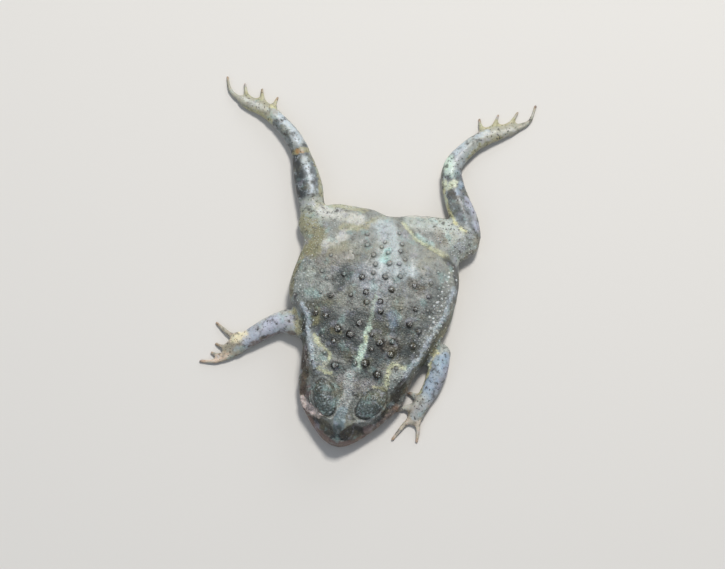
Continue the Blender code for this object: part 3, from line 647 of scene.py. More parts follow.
points = read_points(skin)
off_line = points[:, 2] - mouth_height(points[:, 1])
lips = step(-points[:, 1], -MOUTH_CORNER, -MOUTH_CORNER + 2.5) * step(points[:, 2], 0.5, 1.5)
lips *= 1 - step(np.abs(read_normals(skin)[:, 2]), 0.75, 0.95)
lip_line = sum(height * bell(off_line - middle, width) for middle, width, height in LIP_LINES)
push(skin, (lip_line - MOUTH_DEEP * bell(off_line, MOUTH_WIDE)) * lips)
print("mouth line", MOUTH_DEEP, "mm deep")

# %% Press in the nostrils and the ear drums
NOSTRILS = ((-3.35, -47.2, 7.6), (0.15, -47.2, 7.6))
NOSTRIL_START = Vector((0, -0.01, 0.004))
NOSTRIL_RIM = {"at": 0.62, "width": 0.26, "height": 0.16}
NOSTRIL_HOLE = {"width": 0.36, "depth": 0.6}
DRUMS = ((-30.0, -29.6, 8.2), (30.0, -29.6, 8.2))
DRUM_RIM = {"at": 1.95, "width": 0.34, "height": 0.22}
DRUM_SUNK = 0.28

points = read_points(skin)


def from_hit(start, way):
    """How far each point is from the place where a ray meets the skin."""
    hit = skin.ray_cast(start, way)[1]
    return np.linalg.norm(points - np.array((hit - SHIFT) / MM), axis=1)


def rim(away, shape):
    """A raised ring round a place."""
    return shape["height"] * bell(away - shape["at"], shape["width"])


for place in NOSTRILS:
    start = to_model(*place) + NOSTRIL_START
    away = from_hit(start, (to_model(*place) - start).normalized())
    push(skin, rim(away, NOSTRIL_RIM) - NOSTRIL_HOLE["depth"] * bell(away, NOSTRIL_HOLE["width"]))
for place in DRUMS:
    away = from_hit(to_model(*place), Vector((-math.copysign(1, place[0]), 0, 0)))
    push(skin, rim(away, DRUM_RIM) - DRUM_SUNK * (1 - step(away, 1.1, 1.8)))
print("two nostrils and two drums")

# %% [markdown]
# ## Eyelids
#
# The eyes are sunk and nearly shut, as they are on a toad at rest. The skin runs on over the
# eyeball as a closed lid. The gap between the lids is then pressed in until the eyeball shows
# through, with a soft rim left round it. The gap is measured on the ball, across it along the
# side of the head, and up it towards the crown.

# %% Measure the gap between the lids
GAZE = {"right": Vector((-0.93, -0.30, 0.20)), "left": Vector((0.93, -0.30, 0.20))}
GAP_HALF_LONG = 2.35
GAP_UP = 0.5
GAP_DOWN = 0.95
FRONT = 0.3  # the share of its radius past which the ball counts as its front
OUTSIDE = -3.0  # stands for all the rest of the ball


def gaze_frame(side):
    """The directions out of, across and up an eye, and the middle of its ball."""
    out = GAZE[side].normalized()
    across = Vector((0, 0, 1)).cross(out).normalized()
    up = out.cross(across)
    centre = EYE_RIGHT if side == "right" else EYE_LEFT
    return np.array(centre), np.array(out), np.array(across), np.array(up)


def lid_gap(points, side):
    """How far inside the gap each point lies, seen from the ball's middle, and how far from it."""
    centre, out, across, up = gaze_frame(side)
    away = points - centre
    reach = np.linalg.norm(away, axis=1)
    ball = away / reach[:, None] * EYE_RADIUS
    share = np.clip(1 - (ball @ across / GAP_HALF_LONG) ** 2, -1, 1)
    inside = np.minimum(GAP_UP * share - ball @ up, ball @ up + GAP_DOWN * share)
    inside = np.where(ball @ out > FRONT * EYE_RADIUS, inside, OUTSIDE)
    return inside, reach


print("gap", 2 * GAP_HALF_LONG, "mm long and", round(GAP_UP + GAP_DOWN, 2), "mm high")

# %% Fold the lids
LIDS = {"right": (Vector((-7.9, -36.3, 9.3)), 26.0), "left": (Vector((6.8, -34.8, 9.3)), -34.0)}
LID_HALF_WIDE = 3.4
LID_HALF_LONG = 5.9
LID_RINGS = 3.1
RING_HEIGHT = 0.08
LUMP_HEIGHT = 0.16
LID_RIMS = ((1.04, 0.07, -0.38), (0.93, 0.07, 0.12), (1.18, 0.08, 0.14))  # place, width, height


def on_lid(places, side):
    """How far along a lid each place is, and how far from its middle. The rim is at one."""
    middle, turn = LIDS[side]
    angle = math.radians(turn)
    x = places[:, 0] - middle.x
    y = places[:, 1] - middle.y
    wide = (x * math.cos(angle) + y * math.sin(angle)) / LID_HALF_WIDE
    long = (y * math.cos(angle) - x * math.sin(angle)) / LID_HALF_LONG
    return long, np.hypot(wide, long)


points = read_points(skin)
near = step(points[:, 2], 7.5, 9.0) * step(read_normals(skin)[:, 2], 0.1, 0.4)
waver = grain(points, 1.9, 5.0) * 0.5
uneven = 0.3 + 0.7 * step(grain(points, 2.4, 8.0), -0.25, 0.25)
lumps = grain(points, 0.65, 6.0)
folds = np.zeros(len(points))
for side in LIDS:
    from_middle = on_lid(points, side)[1]
    inner = 1 - step(lid_gap(points, side)[0], -1.6, -0.7)
    rings = np.cos((from_middle + waver) * 2 * math.pi * LID_RINGS) * uneven
    rings *= step(from_middle, 0.1, 0.4) * (1 - step(from_middle, 0.85, 1.0))
    folds += RING_HEIGHT * rings * near
    folds += LUMP_HEIGHT * lumps * (1 - step(from_middle, 0.8, 1.0)) * near
    for place, width, height in LID_RIMS:
        folds += height * bell(from_middle - place, width) * near * inner
push(skin, folds * crown)
print(len(LID_RIMS), "rims and", LID_RINGS, "rings on each lid")

# %% Open the lids, but let them cover the ball all round the gap
LID_THICK = 0.3
LID_LEAST = 0.2
GAP_SUNK = 0.5
GAP_FLOOR = 1.0  # the gap may go this far below the ball
LID_NEAR = 0.8  # skin nearer the ball than this is laid on it
LID_FADE = (1.6, 2.2)
LID_EDGES = ((0.32, 0.26, 0.24), (0.95, 0.3, -0.16))  # way out from the gap, width and height

points = read_points(skin)
for side in LIDS:
    centre = gaze_frame(side)[0]
    inside, reach = lid_gap(points, side)
    near = 1 - step(reach - EYE_RADIUS, *LID_FADE)
    lid_edge = sum(height * bell(inside + out, width) for out, width, height in LID_EDGES)
    wanted = np.where(reach < EYE_RADIUS + LID_NEAR, EYE_RADIUS + LID_THICK, reach) + lid_edge * near
    opened = step(inside, -0.08, 0.16) * near
    wanted = wanted * (1 - opened) + (EYE_RADIUS - GAP_SUNK) * opened
    close = step(inside, -1.3, -0.5) * near
    new_reach = reach * (1 - close) + wanted * close
    covers = EYE_RADIUS + LID_LEAST * (1 - opened) - GAP_FLOOR * opened
    new_reach = np.maximum(new_reach, covers)
    points = centre + (points - centre) * (new_reach / reach)[:, None]
write_points(skin, points)
print("two pairs of lids")

# %% [markdown]
# ## Wrinkles on the legs, the feet and the forearms
#
# Skin gathers across a limb, not along it. Noise that is squeezed along each limb's own line gives
# fine rings, deepest near the joints.

# %% Wrinkle the limbs
LIMB_LINES = {
    "shank_right": ((-26.1, 23.7), (-35.0, 42.8)),
    "shank_left": ((25.0, 25.5), (14.8, 45.0)),
    "tarsus_right": ((-34.6, 42.4), (-45.6, 51.4)),
    "tarsus_left": ((14.8, 45.2), (22.8, 59.7)),
    "foot_right": ((-45.0, 51.2), (-56.6, 54.0)),
    "foot_left": ((22.2, 59.4), (31.4, 64.6)),
    "forearm_right": ((-25.6, -13.0), (-38.2, -23.8)),
    "forearm_left": ((24.9, -12.6), (21.4, -31.6)),
}
LIMB_PASSES = 8
WRINKLE_LONG = 1.0
WRINKLE_WIDE = 4.5
WRINKLE_DEEP = 0.09
JOINT_REACH = 3.0

points = read_points(skin)
wrinkles = np.zeros(len(points))
for name, (start, end) in LIMB_LINES.items():
    along = np.array(end) - np.array(start)
    length = np.linalg.norm(along)
    along = along / length
    limb = evened(owned_by(owners, name), edges, LIMB_PASSES)
    chosen = limb > 0.02
    here = points[chosen]
    down = (here[:, :2] - np.array(start)) @ along
    side = here[:, 0] * along[1] - here[:, 1] * along[0]
    turned = np.stack((down / WRINKLE_LONG, side / WRINKLE_WIDE, here[:, 2] / WRINKLE_WIDE), axis=1)
    at_joint = bell(down, JOINT_REACH) + bell(down - length, JOINT_REACH)
    wrinkles[chosen] += -np.abs(grain(turned, 1.0, 9.0)) * (0.6 + 0.8 * at_joint) * limb[chosen]
lumps = grain(points, 1.7, 11.0) * 0.05 * (1 - trunk)
push(skin, (wrinkles * WRINKLE_DEEP + lumps) * step(points[:, 2], 0.3, 1.2))
print(len(LIMB_LINES), "limbs wrinkled")

# %% [markdown]
# ## Warts
#
# Each wart of the back is a rough dome with a dent in its tip, on a low swelling of the skin. One
# wart is modelled from half a ball with a flared foot, and copied to the places where
# this toad has them, each with its own size and turn. Small warts and tubercles are the same
# shape made with fewer faces and a smaller dent or none, because there are hundreds.

# %% Model one wart at three levels of detail
CUT_HEIGHT = -0.02
BELOW = (-1.0, 0.0)
FOOT_DROP = 0.35
SHOULDER = (0.3, 0.9)
SHOULDER_SHRINK = (0.86, 0.86, 0.9)
TIP = (0.9, 1.1)


def pick_heights(obj, low, high):
    """Picks the points between two heights."""
    height = read_rows(obj.data.vertices, "co", 3)[:, 2]
    pick(obj, "VERT", obj.data.vertices, (height > low) & (height < high))


def model_wart(name, segments, rings, foot, dent=0.0, roughness=0.0):
    """A dome one unit wide in radius, closed below, with a flared foot and perhaps a dent."""
    deselect()
    bpy.ops.mesh.primitive_uv_sphere_add(segments=segments, ring_count=rings, radius=1.0)
    wart = bpy.context.object
    wart.name = name
    open_edit(wart)
    bpy.ops.mesh.bisect(
        plane_co=(0, 0, CUT_HEIGHT), plane_no=(0, 0, 1), clear_inner=True, use_fill=True
    )
    close_edit()
    pick_heights(wart, *BELOW)
    bpy.ops.transform.resize(value=(foot, foot, 1), center_override=(0, 0, 0))
    bpy.ops.transform.translate(value=(0, 0, -FOOT_DROP))
    close_edit()
    pick_heights(wart, *SHOULDER)
    bpy.ops.transform.resize(value=SHOULDER_SHRINK, center_override=(0, 0, 0))
    close_edit()
    pick_heights(wart, *TIP)
    bpy.ops.transform.translate(value=(0, 0, -dent))
    bpy.ops.mesh.select_all(action="SELECT")
    bpy.ops.transform.vertex_random(offset=roughness, uniform=0.4, seed=4)
    close_edit()
    return wart


def take_shape(obj):
    """The points and faces of a model, which then goes."""
    points = np.array([v.co[:] for v in obj.data.vertices])
    faces = [list(p.vertices) for p in obj.data.polygons]
    bpy.data.objects.remove(obj, do_unlink=True)
    return points, faces


WART = take_shape(model_wart("wart", 16, 12, 1.35, dent=0.22, roughness=0.11))
KNOB = take_shape(model_wart("knob", 10, 8, 1.3, dent=0.15, roughness=0.05))
GRANULE = take_shape(model_wart("granule", 7, 6, 1.25))
print([len(shape[1]) for shape in (WART, KNOB, GRANULE)], "faces each")

# %% [markdown]
# ## Where the warts sit
#
# The big warts follow this toad: darkest and largest behind the head, small and ringed over the
# rump. Each row is a place seen from above, in millimetres, a radius and how dark the wart is.
# The skin rises a little under each. The warts aren't joined to the skin, but set into it.

# %% Place the warts of the back
WARTS = (
    (-6.9, -25.9, 1.5, 1.0), (6.6, -25.9, 1.5, 1.0), (-1.0, -24.0, 1.1, 1.0), (2.0, -23.3, 1.5, 1.0),
    (-2.6, -22.0, 0.8, 0.8), (5.2, -15.9, 1.5, 1.0), (8.9, -14.8, 1.2, 0.9), (9.2, -18.8, 1.4, 1.0),
    (-8.8, -14.4, 1.4, 0.9), (-4.4, -15.5, 1.4, 0.9), (-13.3, -11.2, 1.25, 1.0), (-9.1, -18.6, 1.1, 0.9),
    (-13.5, -16.1, 0.9, 0.7), (-16.7, -10.9, 1.1, 0.9), (-2.5, -11.5, 1.3, 0.9), (2.2, -14.1, 1.0, 0.8),
    (3.0, -18.6, 1.0, 0.8), (15.5, -14.3, 1.3, 1.0), (16.1, -9.5, 1.1, 0.9), (12.9, -8.2, 1.2, 1.0),
    (13.7, -3.1, 1.0, 0.8), (9.2, -4.1, 0.8, 0.6), (3.0, -6.4, 1.2, 1.0), (2.4, -3.5, 1.1, 0.9),
    (-1.7, -4.5, 1.1, 0.9), (-2.5, -1.4, 1.15, 0.9), (5.0, 1.2, 1.2, 1.0), (-7.1, -3.3, 0.9, 0.8),
    (-10.5, -1.9, 0.8, 0.7), (-13.1, -4.9, 1.0, 0.8), (-16.6, -4.3, 0.8, 0.6), (-4.9, 3.0, 1.15, 0.9),
    (-10.8, 3.0, 1.0, 0.9), (-1.8, 5.2, 0.9, 0.6), (2.2, 4.7, 1.2, 0.7), (6.7, 5.9, 1.0, 0.6),
    (11.7, 4.4, 1.0, 0.8), (17.5, -2.5, 0.8, 0.6), (16.7, 2.0, 1.0, 0.7), (16.6, 6.3, 0.9, 0.6),
    (19.5, 5.6, 0.7, 0.5), (18.0, 10.6, 0.7, 0.5), (-17.7, 2.5, 0.9, 0.4), (-15.7, 0.4, 0.8, 0.5),
    (-24.6, -6.2, 0.8, 0.9), (-16.2, 8.2, 0.8, 0.4), (-1.8, 8.1, 1.0, 0.4), (-3.1, 10.9, 1.1, 0.4),
    (2.4, 9.4, 1.1, 0.4), (5.5, 9.9, 0.9, 0.4), (1.2, 12.9, 1.0, 0.4), (-1.2, 14.3, 0.9, 0.35),
    (-0.6, 16.2, 0.9, 0.35), (-5.7, 13.9, 1.1, 0.5), (4.9, 14.3, 0.9, 0.35), (4.8, 16.8, 0.9, 0.35),
    (6.9, 11.9, 0.8, 0.4), (3.2, 20.4, 0.8, 0.4), (-6.6, 17.6, 0.8, 0.5), (12.0, -22.6, 0.8, 0.6),
    (-11.2, -22.6, 0.9, 0.6), (-4.2, -19.0, 0.8, 0.7), (6.2, -10.2, 0.8, 0.6), (-5.6, -8.0, 0.8, 0.6),
)
SWELLING = 0.2
SWELLING_REACH = 1.25

points = read_points(skin)
lift = np.zeros(len(points))
for x, y, radius, dark in WARTS:
    swelling = SWELLING * radius * bell(flat_distance(points, x, y), radius * SWELLING_REACH)
    lift += swelling * step(points[:, 2], 3.0, 5.0)
push(skin, lift)
print("low swellings for", len(WARTS), "warts")

# %% Gather copies of a shape into one piece
FULL_TURN = 6.28


class Crop:
    """Copies of the wart shapes, gathered to make one piece."""

    def __init__(self):
        self.points = []
        self.faces = []
        self.tint = []
        self.height = []
        self.radial = []
        self.base = []
        self.count = 0

    def add(self, shape, place, normal, radius, height, tint, sink=0.0):
        """Sets one copy on the skin. The base row keeps the place it grew from."""
        corners, faces = shape
        upright = Vector(normal).to_track_quat("Z", "Y").to_matrix()
        spun = Matrix.Rotation(random.uniform(0, FULL_TURN), 3, "Z")
        turn = np.array(upright @ spun)
        shares = np.array((radius * random.uniform(0.9, 1.1), radius, height))
        moved = (corners * shares) @ turn.T + place - np.array(normal) * sink
        self.points.append(moved)
        self.faces += [[self.count + i for i in face] for face in faces]
        self.tint += [tint] * len(corners)
        self.height += list(corners[:, 2])
        self.radial += list(np.hypot(corners[:, 0], corners[:, 1]))
        self.base += [place] * len(corners)
        self.count += len(corners)

    def piece(self, name):
        """The gathered copies as one object, smooth to look at."""
        mesh = bpy.data.meshes.new(name)
        placed = np.concatenate(self.points) * MM + np.array(SHIFT)
        mesh.from_pydata(placed.tolist(), [], self.faces)
        obj = add_object(name, mesh)
        make_active(obj)
        bpy.ops.object.shade_smooth()
        return obj


print("each copy has its own size and turn")

# %% Set the warts on the skin
WART_SHARE = 0.74
DOME_HEIGHT = 0.95
LEAST_WART = 0.85
WART_SINK = 0.05
HIGH_ABOVE = 60.0
random.seed(7)


def on_top(x, y):
    """The skin's highest point over a place, and the way it faces there."""
    hit, point, normal, _ = skin.ray_cast(to_model(x, y, HIGH_ABOVE), Vector((0, 0, -1)))
    return (np.array((point - SHIFT) / MM), np.array(normal)) if hit else (None, None)


warts = Crop()
for x, y, radius, dark in WARTS:
    place, normal = on_top(x, y)
    shape = WART if radius > LEAST_WART else KNOB
    size = radius * WART_SHARE
    warts.add(shape, place, normal, size, size * DOME_HEIGHT, dark, sink=WART_SINK)
print(len(WARTS), "warts set")

# %% [markdown]
# ## Tubercles
#
# Fine tubercles fill the skin between the warts: white beads along the flanks, dark points on the
# back, pale ones on the knees. They are strewn by chance, but kept a least distance apart. A bed
# is an oval: its middle, its two reaches, how many tubercles it may have, that least distance,
# their least and greatest radius, and a tint from -1 for white to 1 for black.

# %% List the beds of tubercles
BEDS = (
    ("back", (-0.5, -4.0), (19.0, 21.0), 330, 1.15, (0.20, 0.40), 0.5),
    ("crown", (0.0, -29.6), (8.0, 3.6), 60, 0.95, (0.22, 0.42), 0.55),
    ("between the lids", (-1.2, -34.0), (3.2, 6.0), 52, 0.85, (0.22, 0.40), 0.3),
    ("left gland", (12.8, -24.0), (4.0, 5.6), 40, 0.95, (0.24, 0.40), -0.3),
    ("right gland", (-14.0, -23.0), (3.2, 5.8), 38, 0.95, (0.24, 0.40), -0.35),
    ("left edge in front", (19.0, -15.0), (3.6, 8.0), 52, 0.9, (0.24, 0.44), -0.55),
    ("left flank", (22.2, 1.0), (2.8, 13.0), 52, 1.3, (0.28, 0.52), -0.7),
    ("left edge's beads", (20.8, -4.0), (2.3, 5.5), 22, 1.5, (0.44, 0.62), -0.5),
    ("right edge", (-18.6, -14.5), (1.9, 6.5), 34, 0.85, (0.22, 0.38), -0.5),
    ("right flank", (-24.0, 3.0), (3.4, 11.0), 55, 1.3, (0.20, 0.42), -0.55),
    ("left knee", (21.5, 23.0), (6.0, 5.0), 170, 0.7, (0.16, 0.30), -0.45),
    ("right knee", (-22.0, 16.5), (5.0, 7.0), 170, 0.7, (0.15, 0.28), -0.4),
    ("left thigh", (13.0, 22.0), (6.0, 4.0), 45, 1.3, (0.16, 0.26), 0.6),
    ("right thigh", (-13.0, 20.5), (6.5, 5.0), 50, 1.3, (0.16, 0.26), 0.55),
)
print(len(BEDS), "beds")

# %% Strew the tubercles
TRIES_EACH = 30
LEAST_KNOB = 0.36
GRAIN_HEIGHT = 0.9
GRAIN_SINK = 0.04
WART_ROOM = (1.1, 0.3)  # a share of the wart's radius, and millimetres more
LOWEST = 2.0
STEEPEST = 0.25  # how far up the skin must face at least, from 0 to 1


def near_wart(x, y):
    share, more = WART_ROOM
    return any(math.hypot(x - u, y - v) < radius * share + more for u, v, radius, _ in WARTS)


def strewn(middle, reach, count, spacing):
    """Places inside an oval, none nearer to another than the spacing."""
    places = []
    tries = 0
    while len(places) < count and tries < count * TRIES_EACH:
        tries += 1
        angle = random.uniform(0, 2 * math.pi)
        out = math.sqrt(random.random())
        x = middle[0] + reach[0] * out * math.cos(angle)
        y = middle[1] + reach[1] * out * math.sin(angle)
        if all((x - u) ** 2 + (y - v) ** 2 > spacing ** 2 for u, v in places):
            places.append((x, y))
    return places


tubercles = Crop()
for name, middle, reach, count, spacing, sizes, tint in BEDS:
    for x, y in strewn(middle, reach, count, spacing):
        if near_wart(x, y):
            continue
        place, normal = on_top(x, y)
        if place is None or place[2] < LOWEST or normal[2] < STEEPEST:
            continue
        size = random.uniform(*sizes)
        shape = KNOB if size > LEAST_KNOB else GRANULE
        shade = tint * random.uniform(0.1, 1.3)
        tubercles.add(shape, place, normal, size, size * GRAIN_HEIGHT, shade, sink=GRAIN_SINK)
print(len(tubercles.points), "tubercles strewn")
warts_piece = warts.piece("warts")
tubercles_piece = tubercles.piece("tubercles")

# %% [markdown]
# ## The colours of the skin
#
# A toad's colours lie in patches with soft edges: dark slate over the shoulders, grey over the
# middle of the back, pale over the rump and the legs, with mint, shell and olive between. They are
# painted as the modelling was done, with strokes, onto a colour attribute of the mesh. The
# finish then breaks them up with mottling and grain.

# %% Mix the colours


def tone(red, green, blue):
    """A colour given as on a paint chart, from 0 to 255, as light."""
    return np.array([c / 12.92 if c <= 0.04045 else ((c + 0.055) / 1.055) ** 2.4
                     for c in (red / 255, green / 255, blue / 255)])


BLACK = tone(36, 32, 27)
CHARCOAL = tone(54, 58, 60)
SLATE = tone(90, 97, 95)
ASH = tone(114, 119, 118)
GREY = tone(142, 147, 145)
STONE = tone(168, 171, 168)
PALE = tone(176, 184, 178)
SHELL = tone(204, 204, 196)
ICE = tone(188, 199, 206)
SKY = tone(138, 162, 186)
LAVENDER = tone(164, 166, 180)
AQUA = tone(174, 208, 205)
MINT = tone(216, 238, 218)
LEMON = tone(214, 210, 160)
STRAW = tone(184, 179, 138)
OLIVE = tone(146, 142, 108)
MOSS = tone(104, 102, 76)
PEAT = tone(84, 78, 66)
TAUPE = tone(132, 124, 110)
UMBER = tone(112, 90, 76)
RUST = tone(152, 108, 60)
ROSE = tone(214, 198, 192)
WHITE = tone(226, 230, 230)
BUTTER = tone(208, 210, 172)
FINGER = tone(212, 200, 182)
SOLID_COLOURS = {
    "trunk": tone(140, 143, 138), "head": tone(116, 120, 115), "lower_jaw": UMBER,
    "thigh": tone(164, 168, 158), "shank": tone(108, 114, 117), "tarsus": tone(162, 168, 168),
    "foot": tone(166, 164, 148), "upper_arm": tone(164, 168, 162), "forearm": tone(166, 173, 184),
    "hand": tone(172, 164, 146),
}
print(len(SOLID_COLOURS), "ground colours")

# %% [markdown]
# ### Where each colour goes
#
# Each row of the next three tables is one stroke of a soft brush: the places that it passes, half
# the brush's width, its colour and how strongly it covers. The back goes from a pale rump to dark
# shoulders. The legs are painted first, then the back, and the head last, so that its fine
# strokes lie on top.

# %% Strokes over the back
BACK_PAINT = {
    "middle of the back": (((-5.5, 3.5), (3.0, 2.0), (1.5, -2.5)), 4.2, tone(172, 178, 186), 0.6),
    "left of the back": (((13.0, 9.0), (17.5, 3.5), (15.0, -6.0)), 3.6, ASH, 0.55),
    "rump": (((-2.0, 22.0), (1.0, 16.0), (1.5, 8.5), (8.5, 8.0)), 3.8, tone(188, 198, 200), 0.8),
    "right of the rump": (((-12.0, 9.0), (-18.0, 6.0)), 3.0, TAUPE * 1.15, 0.4),
    "rump spot": (((1.0, 13.0), (0.5, 10.0)), 1.4, AQUA, 0.95),
    "right swell": (((-22.5, 1.5), (-22.5, -4.0), (-17.5, -4.5)), 3.2, PALE, 0.65),
    "right swell's spot": (((-20.5, -4.5), (-17.5, -5.5)), 1.3, AQUA, 0.45),
    "low right flank": (((-23.5, 10.5), (-25.7, 7.5), (-27.3, 0.5), (-26.5, -6.5)), 1.3, OLIVE, 0.9),
    # The two hollow strokes are painted shade in the hollows beside the pelvis.
    "painted shade in the right hollow": (((-10.5, 4.0), (-12.0, -0.5)), 2.6, SLATE * 0.8, 0.95),
    "behind the right shoulder": (((-14.0, -6.5), (-19.0, -9.5)), 1.8, MOSS, 0.6),
    "painted shade in the left hollow": (((10.5, 5.5), (13.5, 3.5)), 1.9, PEAT, 0.85),
    # The steep left flank here is painted dark: painted shade.
    "painted shade low on the left flank": (((19.5, 16.0), (23.0, 13.5), (25.4, 9.0), (25.8, 4.0)), 1.3, CHARCOAL, 0.8),
    "shoulders": (((-14.5, -12.0), (-9.0, -16.5), (-2.0, -20.0)), 4.6, SLATE * 0.6, 0.92),
    "left shoulder": (((7.0, -12.0), (13.0, -12.5), (14.5, -18.0)), 4.2, SLATE * 0.68, 0.85),
    "between the shoulders": (((-3.5, -10.5), (5.0, -10.0), (4.0, -23.5)), 3.6, SLATE * 0.64, 0.85),
    "blue of the left back": (((7.0, -6.5), (7.5, -9.0)), 1.9, SKY * 0.85, 0.6),
    "dark round patch": (((8.1, -16.4), (9.0, -16.1)), 2.9, PEAT * 1.3, 0.9),
    "its rim": (((5.6, -16.4), (7.2, -18.9), (10.2, -18.5), (11.6, -15.8), (9.6, -13.6),
                 (6.8, -13.9), (5.6, -16.4)), 0.5, BLACK, 0.95),
    "olive by the right arm": (((-16.5, -10.0), (-16.2, -13.5)), 1.2, OLIVE, 0.85),
    "olive of the right shoulder": (((-10.2, -15.2), (-8.4, -15.4)), 1.0, OLIVE, 0.7),
    "faint end of the stripe": (((0.6, -2.0), (0.8, -9.0), (0.7, -12.8)), 0.6, MINT, 0.5),
    "stripe": (((0.7, -12.4), (0.5, -16.5), (0.6, -19.0)), 0.75, MINT, 0.95),
    "stripe's broad end": (((0.3, -19.0), (0.1, -22.2), (-0.1, -24.8)), 1.35, MINT, 1.0),
    "stripe's yellow": (((0.7, -15.2), (0.6, -16.6)), 0.5, LEMON, 0.8),
    # The steep flank outside the right edge is painted dark: painted shade.
    "outside the right edge": (((-20.4, -10.0), (-19.6, -14.0), (-19.0, -20.0)), 0.9, CHARCOAL, 0.9),
    "right edge": (((-21.6, -8.8), (-18.9, -12.2), (-18.3, -15.0), (-17.4, -18.5)), 0.8, ICE, 1.0),
    "right gland": (((-16.3, -19.5), (-13.5, -23.5), (-12.4, -27.6)), 2.1, PALE * 0.68, 0.95),
    "right gland's edge": (((-17.3, -18.2), (-15.6, -22.0), (-13.2, -27.8)), 0.7, ICE, 0.9),
    "right gland's rim": (((-15.6, -17.8), (-12.9, -20.6), (-9.3, -22.2), (-9.0, -24.2),
                           (-11.6, -28.2), (-7.8, -28.7)), 0.7, BUTTER, 0.85),
    # The steep flank outside the left edge is painted dark: painted shade.
    "outside the left edge": (((26.4, 4.0), (26.0, 0.0), (24.2, -6.0), (21.6, -11.0), (19.2, -18.5)), 1.2,
                              MOSS * 0.7, 0.95),
    "left armpit": (((24.4, -5.5), (23.0, -9.5), (21.6, -14.5)), 0.7, OLIVE, 0.9),
    "left edge": (((24.2, 7.0), (23.3, 2.2), (23.5, -1.5), (21.7, -6.3), (20.0, -11.0),
                   (18.4, -16.8), (16.2, -21.0), (14.8, -25.5)), 0.75, ICE * 0.95, 1.0),
    "left gland": (((13.6, -23.6), (12.0, -28.0)), 2.0, PALE * 0.72, 0.85),
    "left gland's rim": (((14.4, -21.6), (10.7, -21.7), (9.7, -23.3), (9.6, -26.6), (10.3, -29.2),
                          (8.2, -29.4)), 0.75, BUTTER, 0.85),
}
print(len(BACK_PAINT), "strokes over the back")

# %% Strokes over the head
HEAD_PAINT = {
    "nape": (((-6.0, -27.0), (2.0, -26.4), (8.0, -26.6)), 1.6, SLATE, 0.6),
    "crown": (((-3.6, -29.8), (-0.6, -31.6), (1.8, -30.6), (5.0, -29.4)), 2.0, tone(158, 155, 153), 0.7),
    "saddle": (((-2.0, -27.4), (-1.6, -32.0), (-0.6, -34.0), (-2.4, -38.0)), 1.7, STONE * 1.3, 0.85),
    "knob of the crown": (((-3.9, -31.6), (-3.4, -32.2)), 1.1, TAUPE * 0.8, 0.6),
    "notch of the crown": (((0.2, -32.8), (2.2, -33.9)), 0.5, CHARCOAL, 0.7),
    "right temple": (((-18.2, -22.0), (-16.6, -26.5), (-15.5, -31.0), (-15.3, -35.8)), 1.3, UMBER * 0.5, 0.9),
    "before the right temple": (((-13.9, -30.8), (-13.5, -33.2)), 1.0, GREY * 0.8, 0.8),
    "right of the eye": (((-13.6, -33.8), (-13.2, -36.2)), 0.9, tone(112, 98, 96), 0.9),
    # The left temple is painted dark: painted shade on the steep side of the head.
    "left temple": (((15.2, -26.6), (13.9, -30.0), (12.6, -33.5), (11.6, -36.4)), 1.4, PEAT * 0.5, 0.95),
    "left neck": (((18.6, -21.6), (17.0, -26.4)), 1.1, TAUPE, 0.7),
    "snout": (((-1.7, -39.4), (-1.7, -42.0)), 1.9, tone(150, 168, 176), 0.85),
    # This stroke and the six below it are painted shade: the steep faces below the snout's edges, the tip,
    # both cheeks and the skin below the right fold are painted dark.
    "low snout": (((-1.9, -43.2), (-1.6, -43.8)), 1.8, tone(100, 116, 120), 0.9),
    "front of the snout": (((-2.0, -44.6), (-1.6, -46.0)), 1.5, tone(58, 68, 70), 0.95),
    "front of the left cheek": (((1.4, -46.4), (4.8, -45.2)), 1.2, tone(56, 50, 44), 0.9),
    "tip": (((-2.6, -46.9), (-1.3, -47.1), (1.0, -46.6)), 0.9, CHARCOAL * 0.6, 0.95),
    "below the right fold": (((-12.6, -41.0), (-9.6, -43.0)), 0.9, UMBER * 0.6, 0.9),
    "right cheek": (((-8.6, -43.0), (-6.2, -44.3), (-4.4, -45.9)), 1.5, tone(52, 50, 43), 0.95),
    "left cheek": (((0.4, -46.0), (1.7, -44.6), (3.5, -43.4), (6.2, -43.2)), 1.3, tone(46, 43, 37), 0.95),
    # The lips' stroke is partly their own mauve colour and partly painted shade, since the lips lie in shade
    # under the snout.
    "lips": (((-13.9, -40.2), (-10.9, -43.6), (-7.7, -46.4), (-4.1, -48.9), (-0.4, -49.3), (4.1, -47.4),
              (7.0, -45.2)), 1.0, tone(106, 82, 76), 0.9),
    "left lip": (((7.0, -42.6), (9.8, -41.0), (12.4, -37.9), (14.6, -34.4)), 1.2, tone(124, 108, 104), 0.9),
    "left lip's edge": (((8.6, -42.8), (11.6, -40.6), (14.0, -37.0)), 0.4, STONE, 0.6),
    "right under-eye fold": (((-15.4, -37.1), (-13.4, -39.0), (-11.1, -40.6), (-8.2, -41.5)), 1.05,
                             ROSE * 1.2, 0.95),
    "left lid's lower rim": (((9.8, -37.3), (7.2, -40.2), (4.0, -41.4)), 0.35, STONE, 0.7),
    "left lid's rear rim": (((6.4, -29.6), (8.4, -29.4), (10.6, -29.8)), 0.4, LEMON, 0.7),
}
print(len(HEAD_PAINT), "strokes over the head")

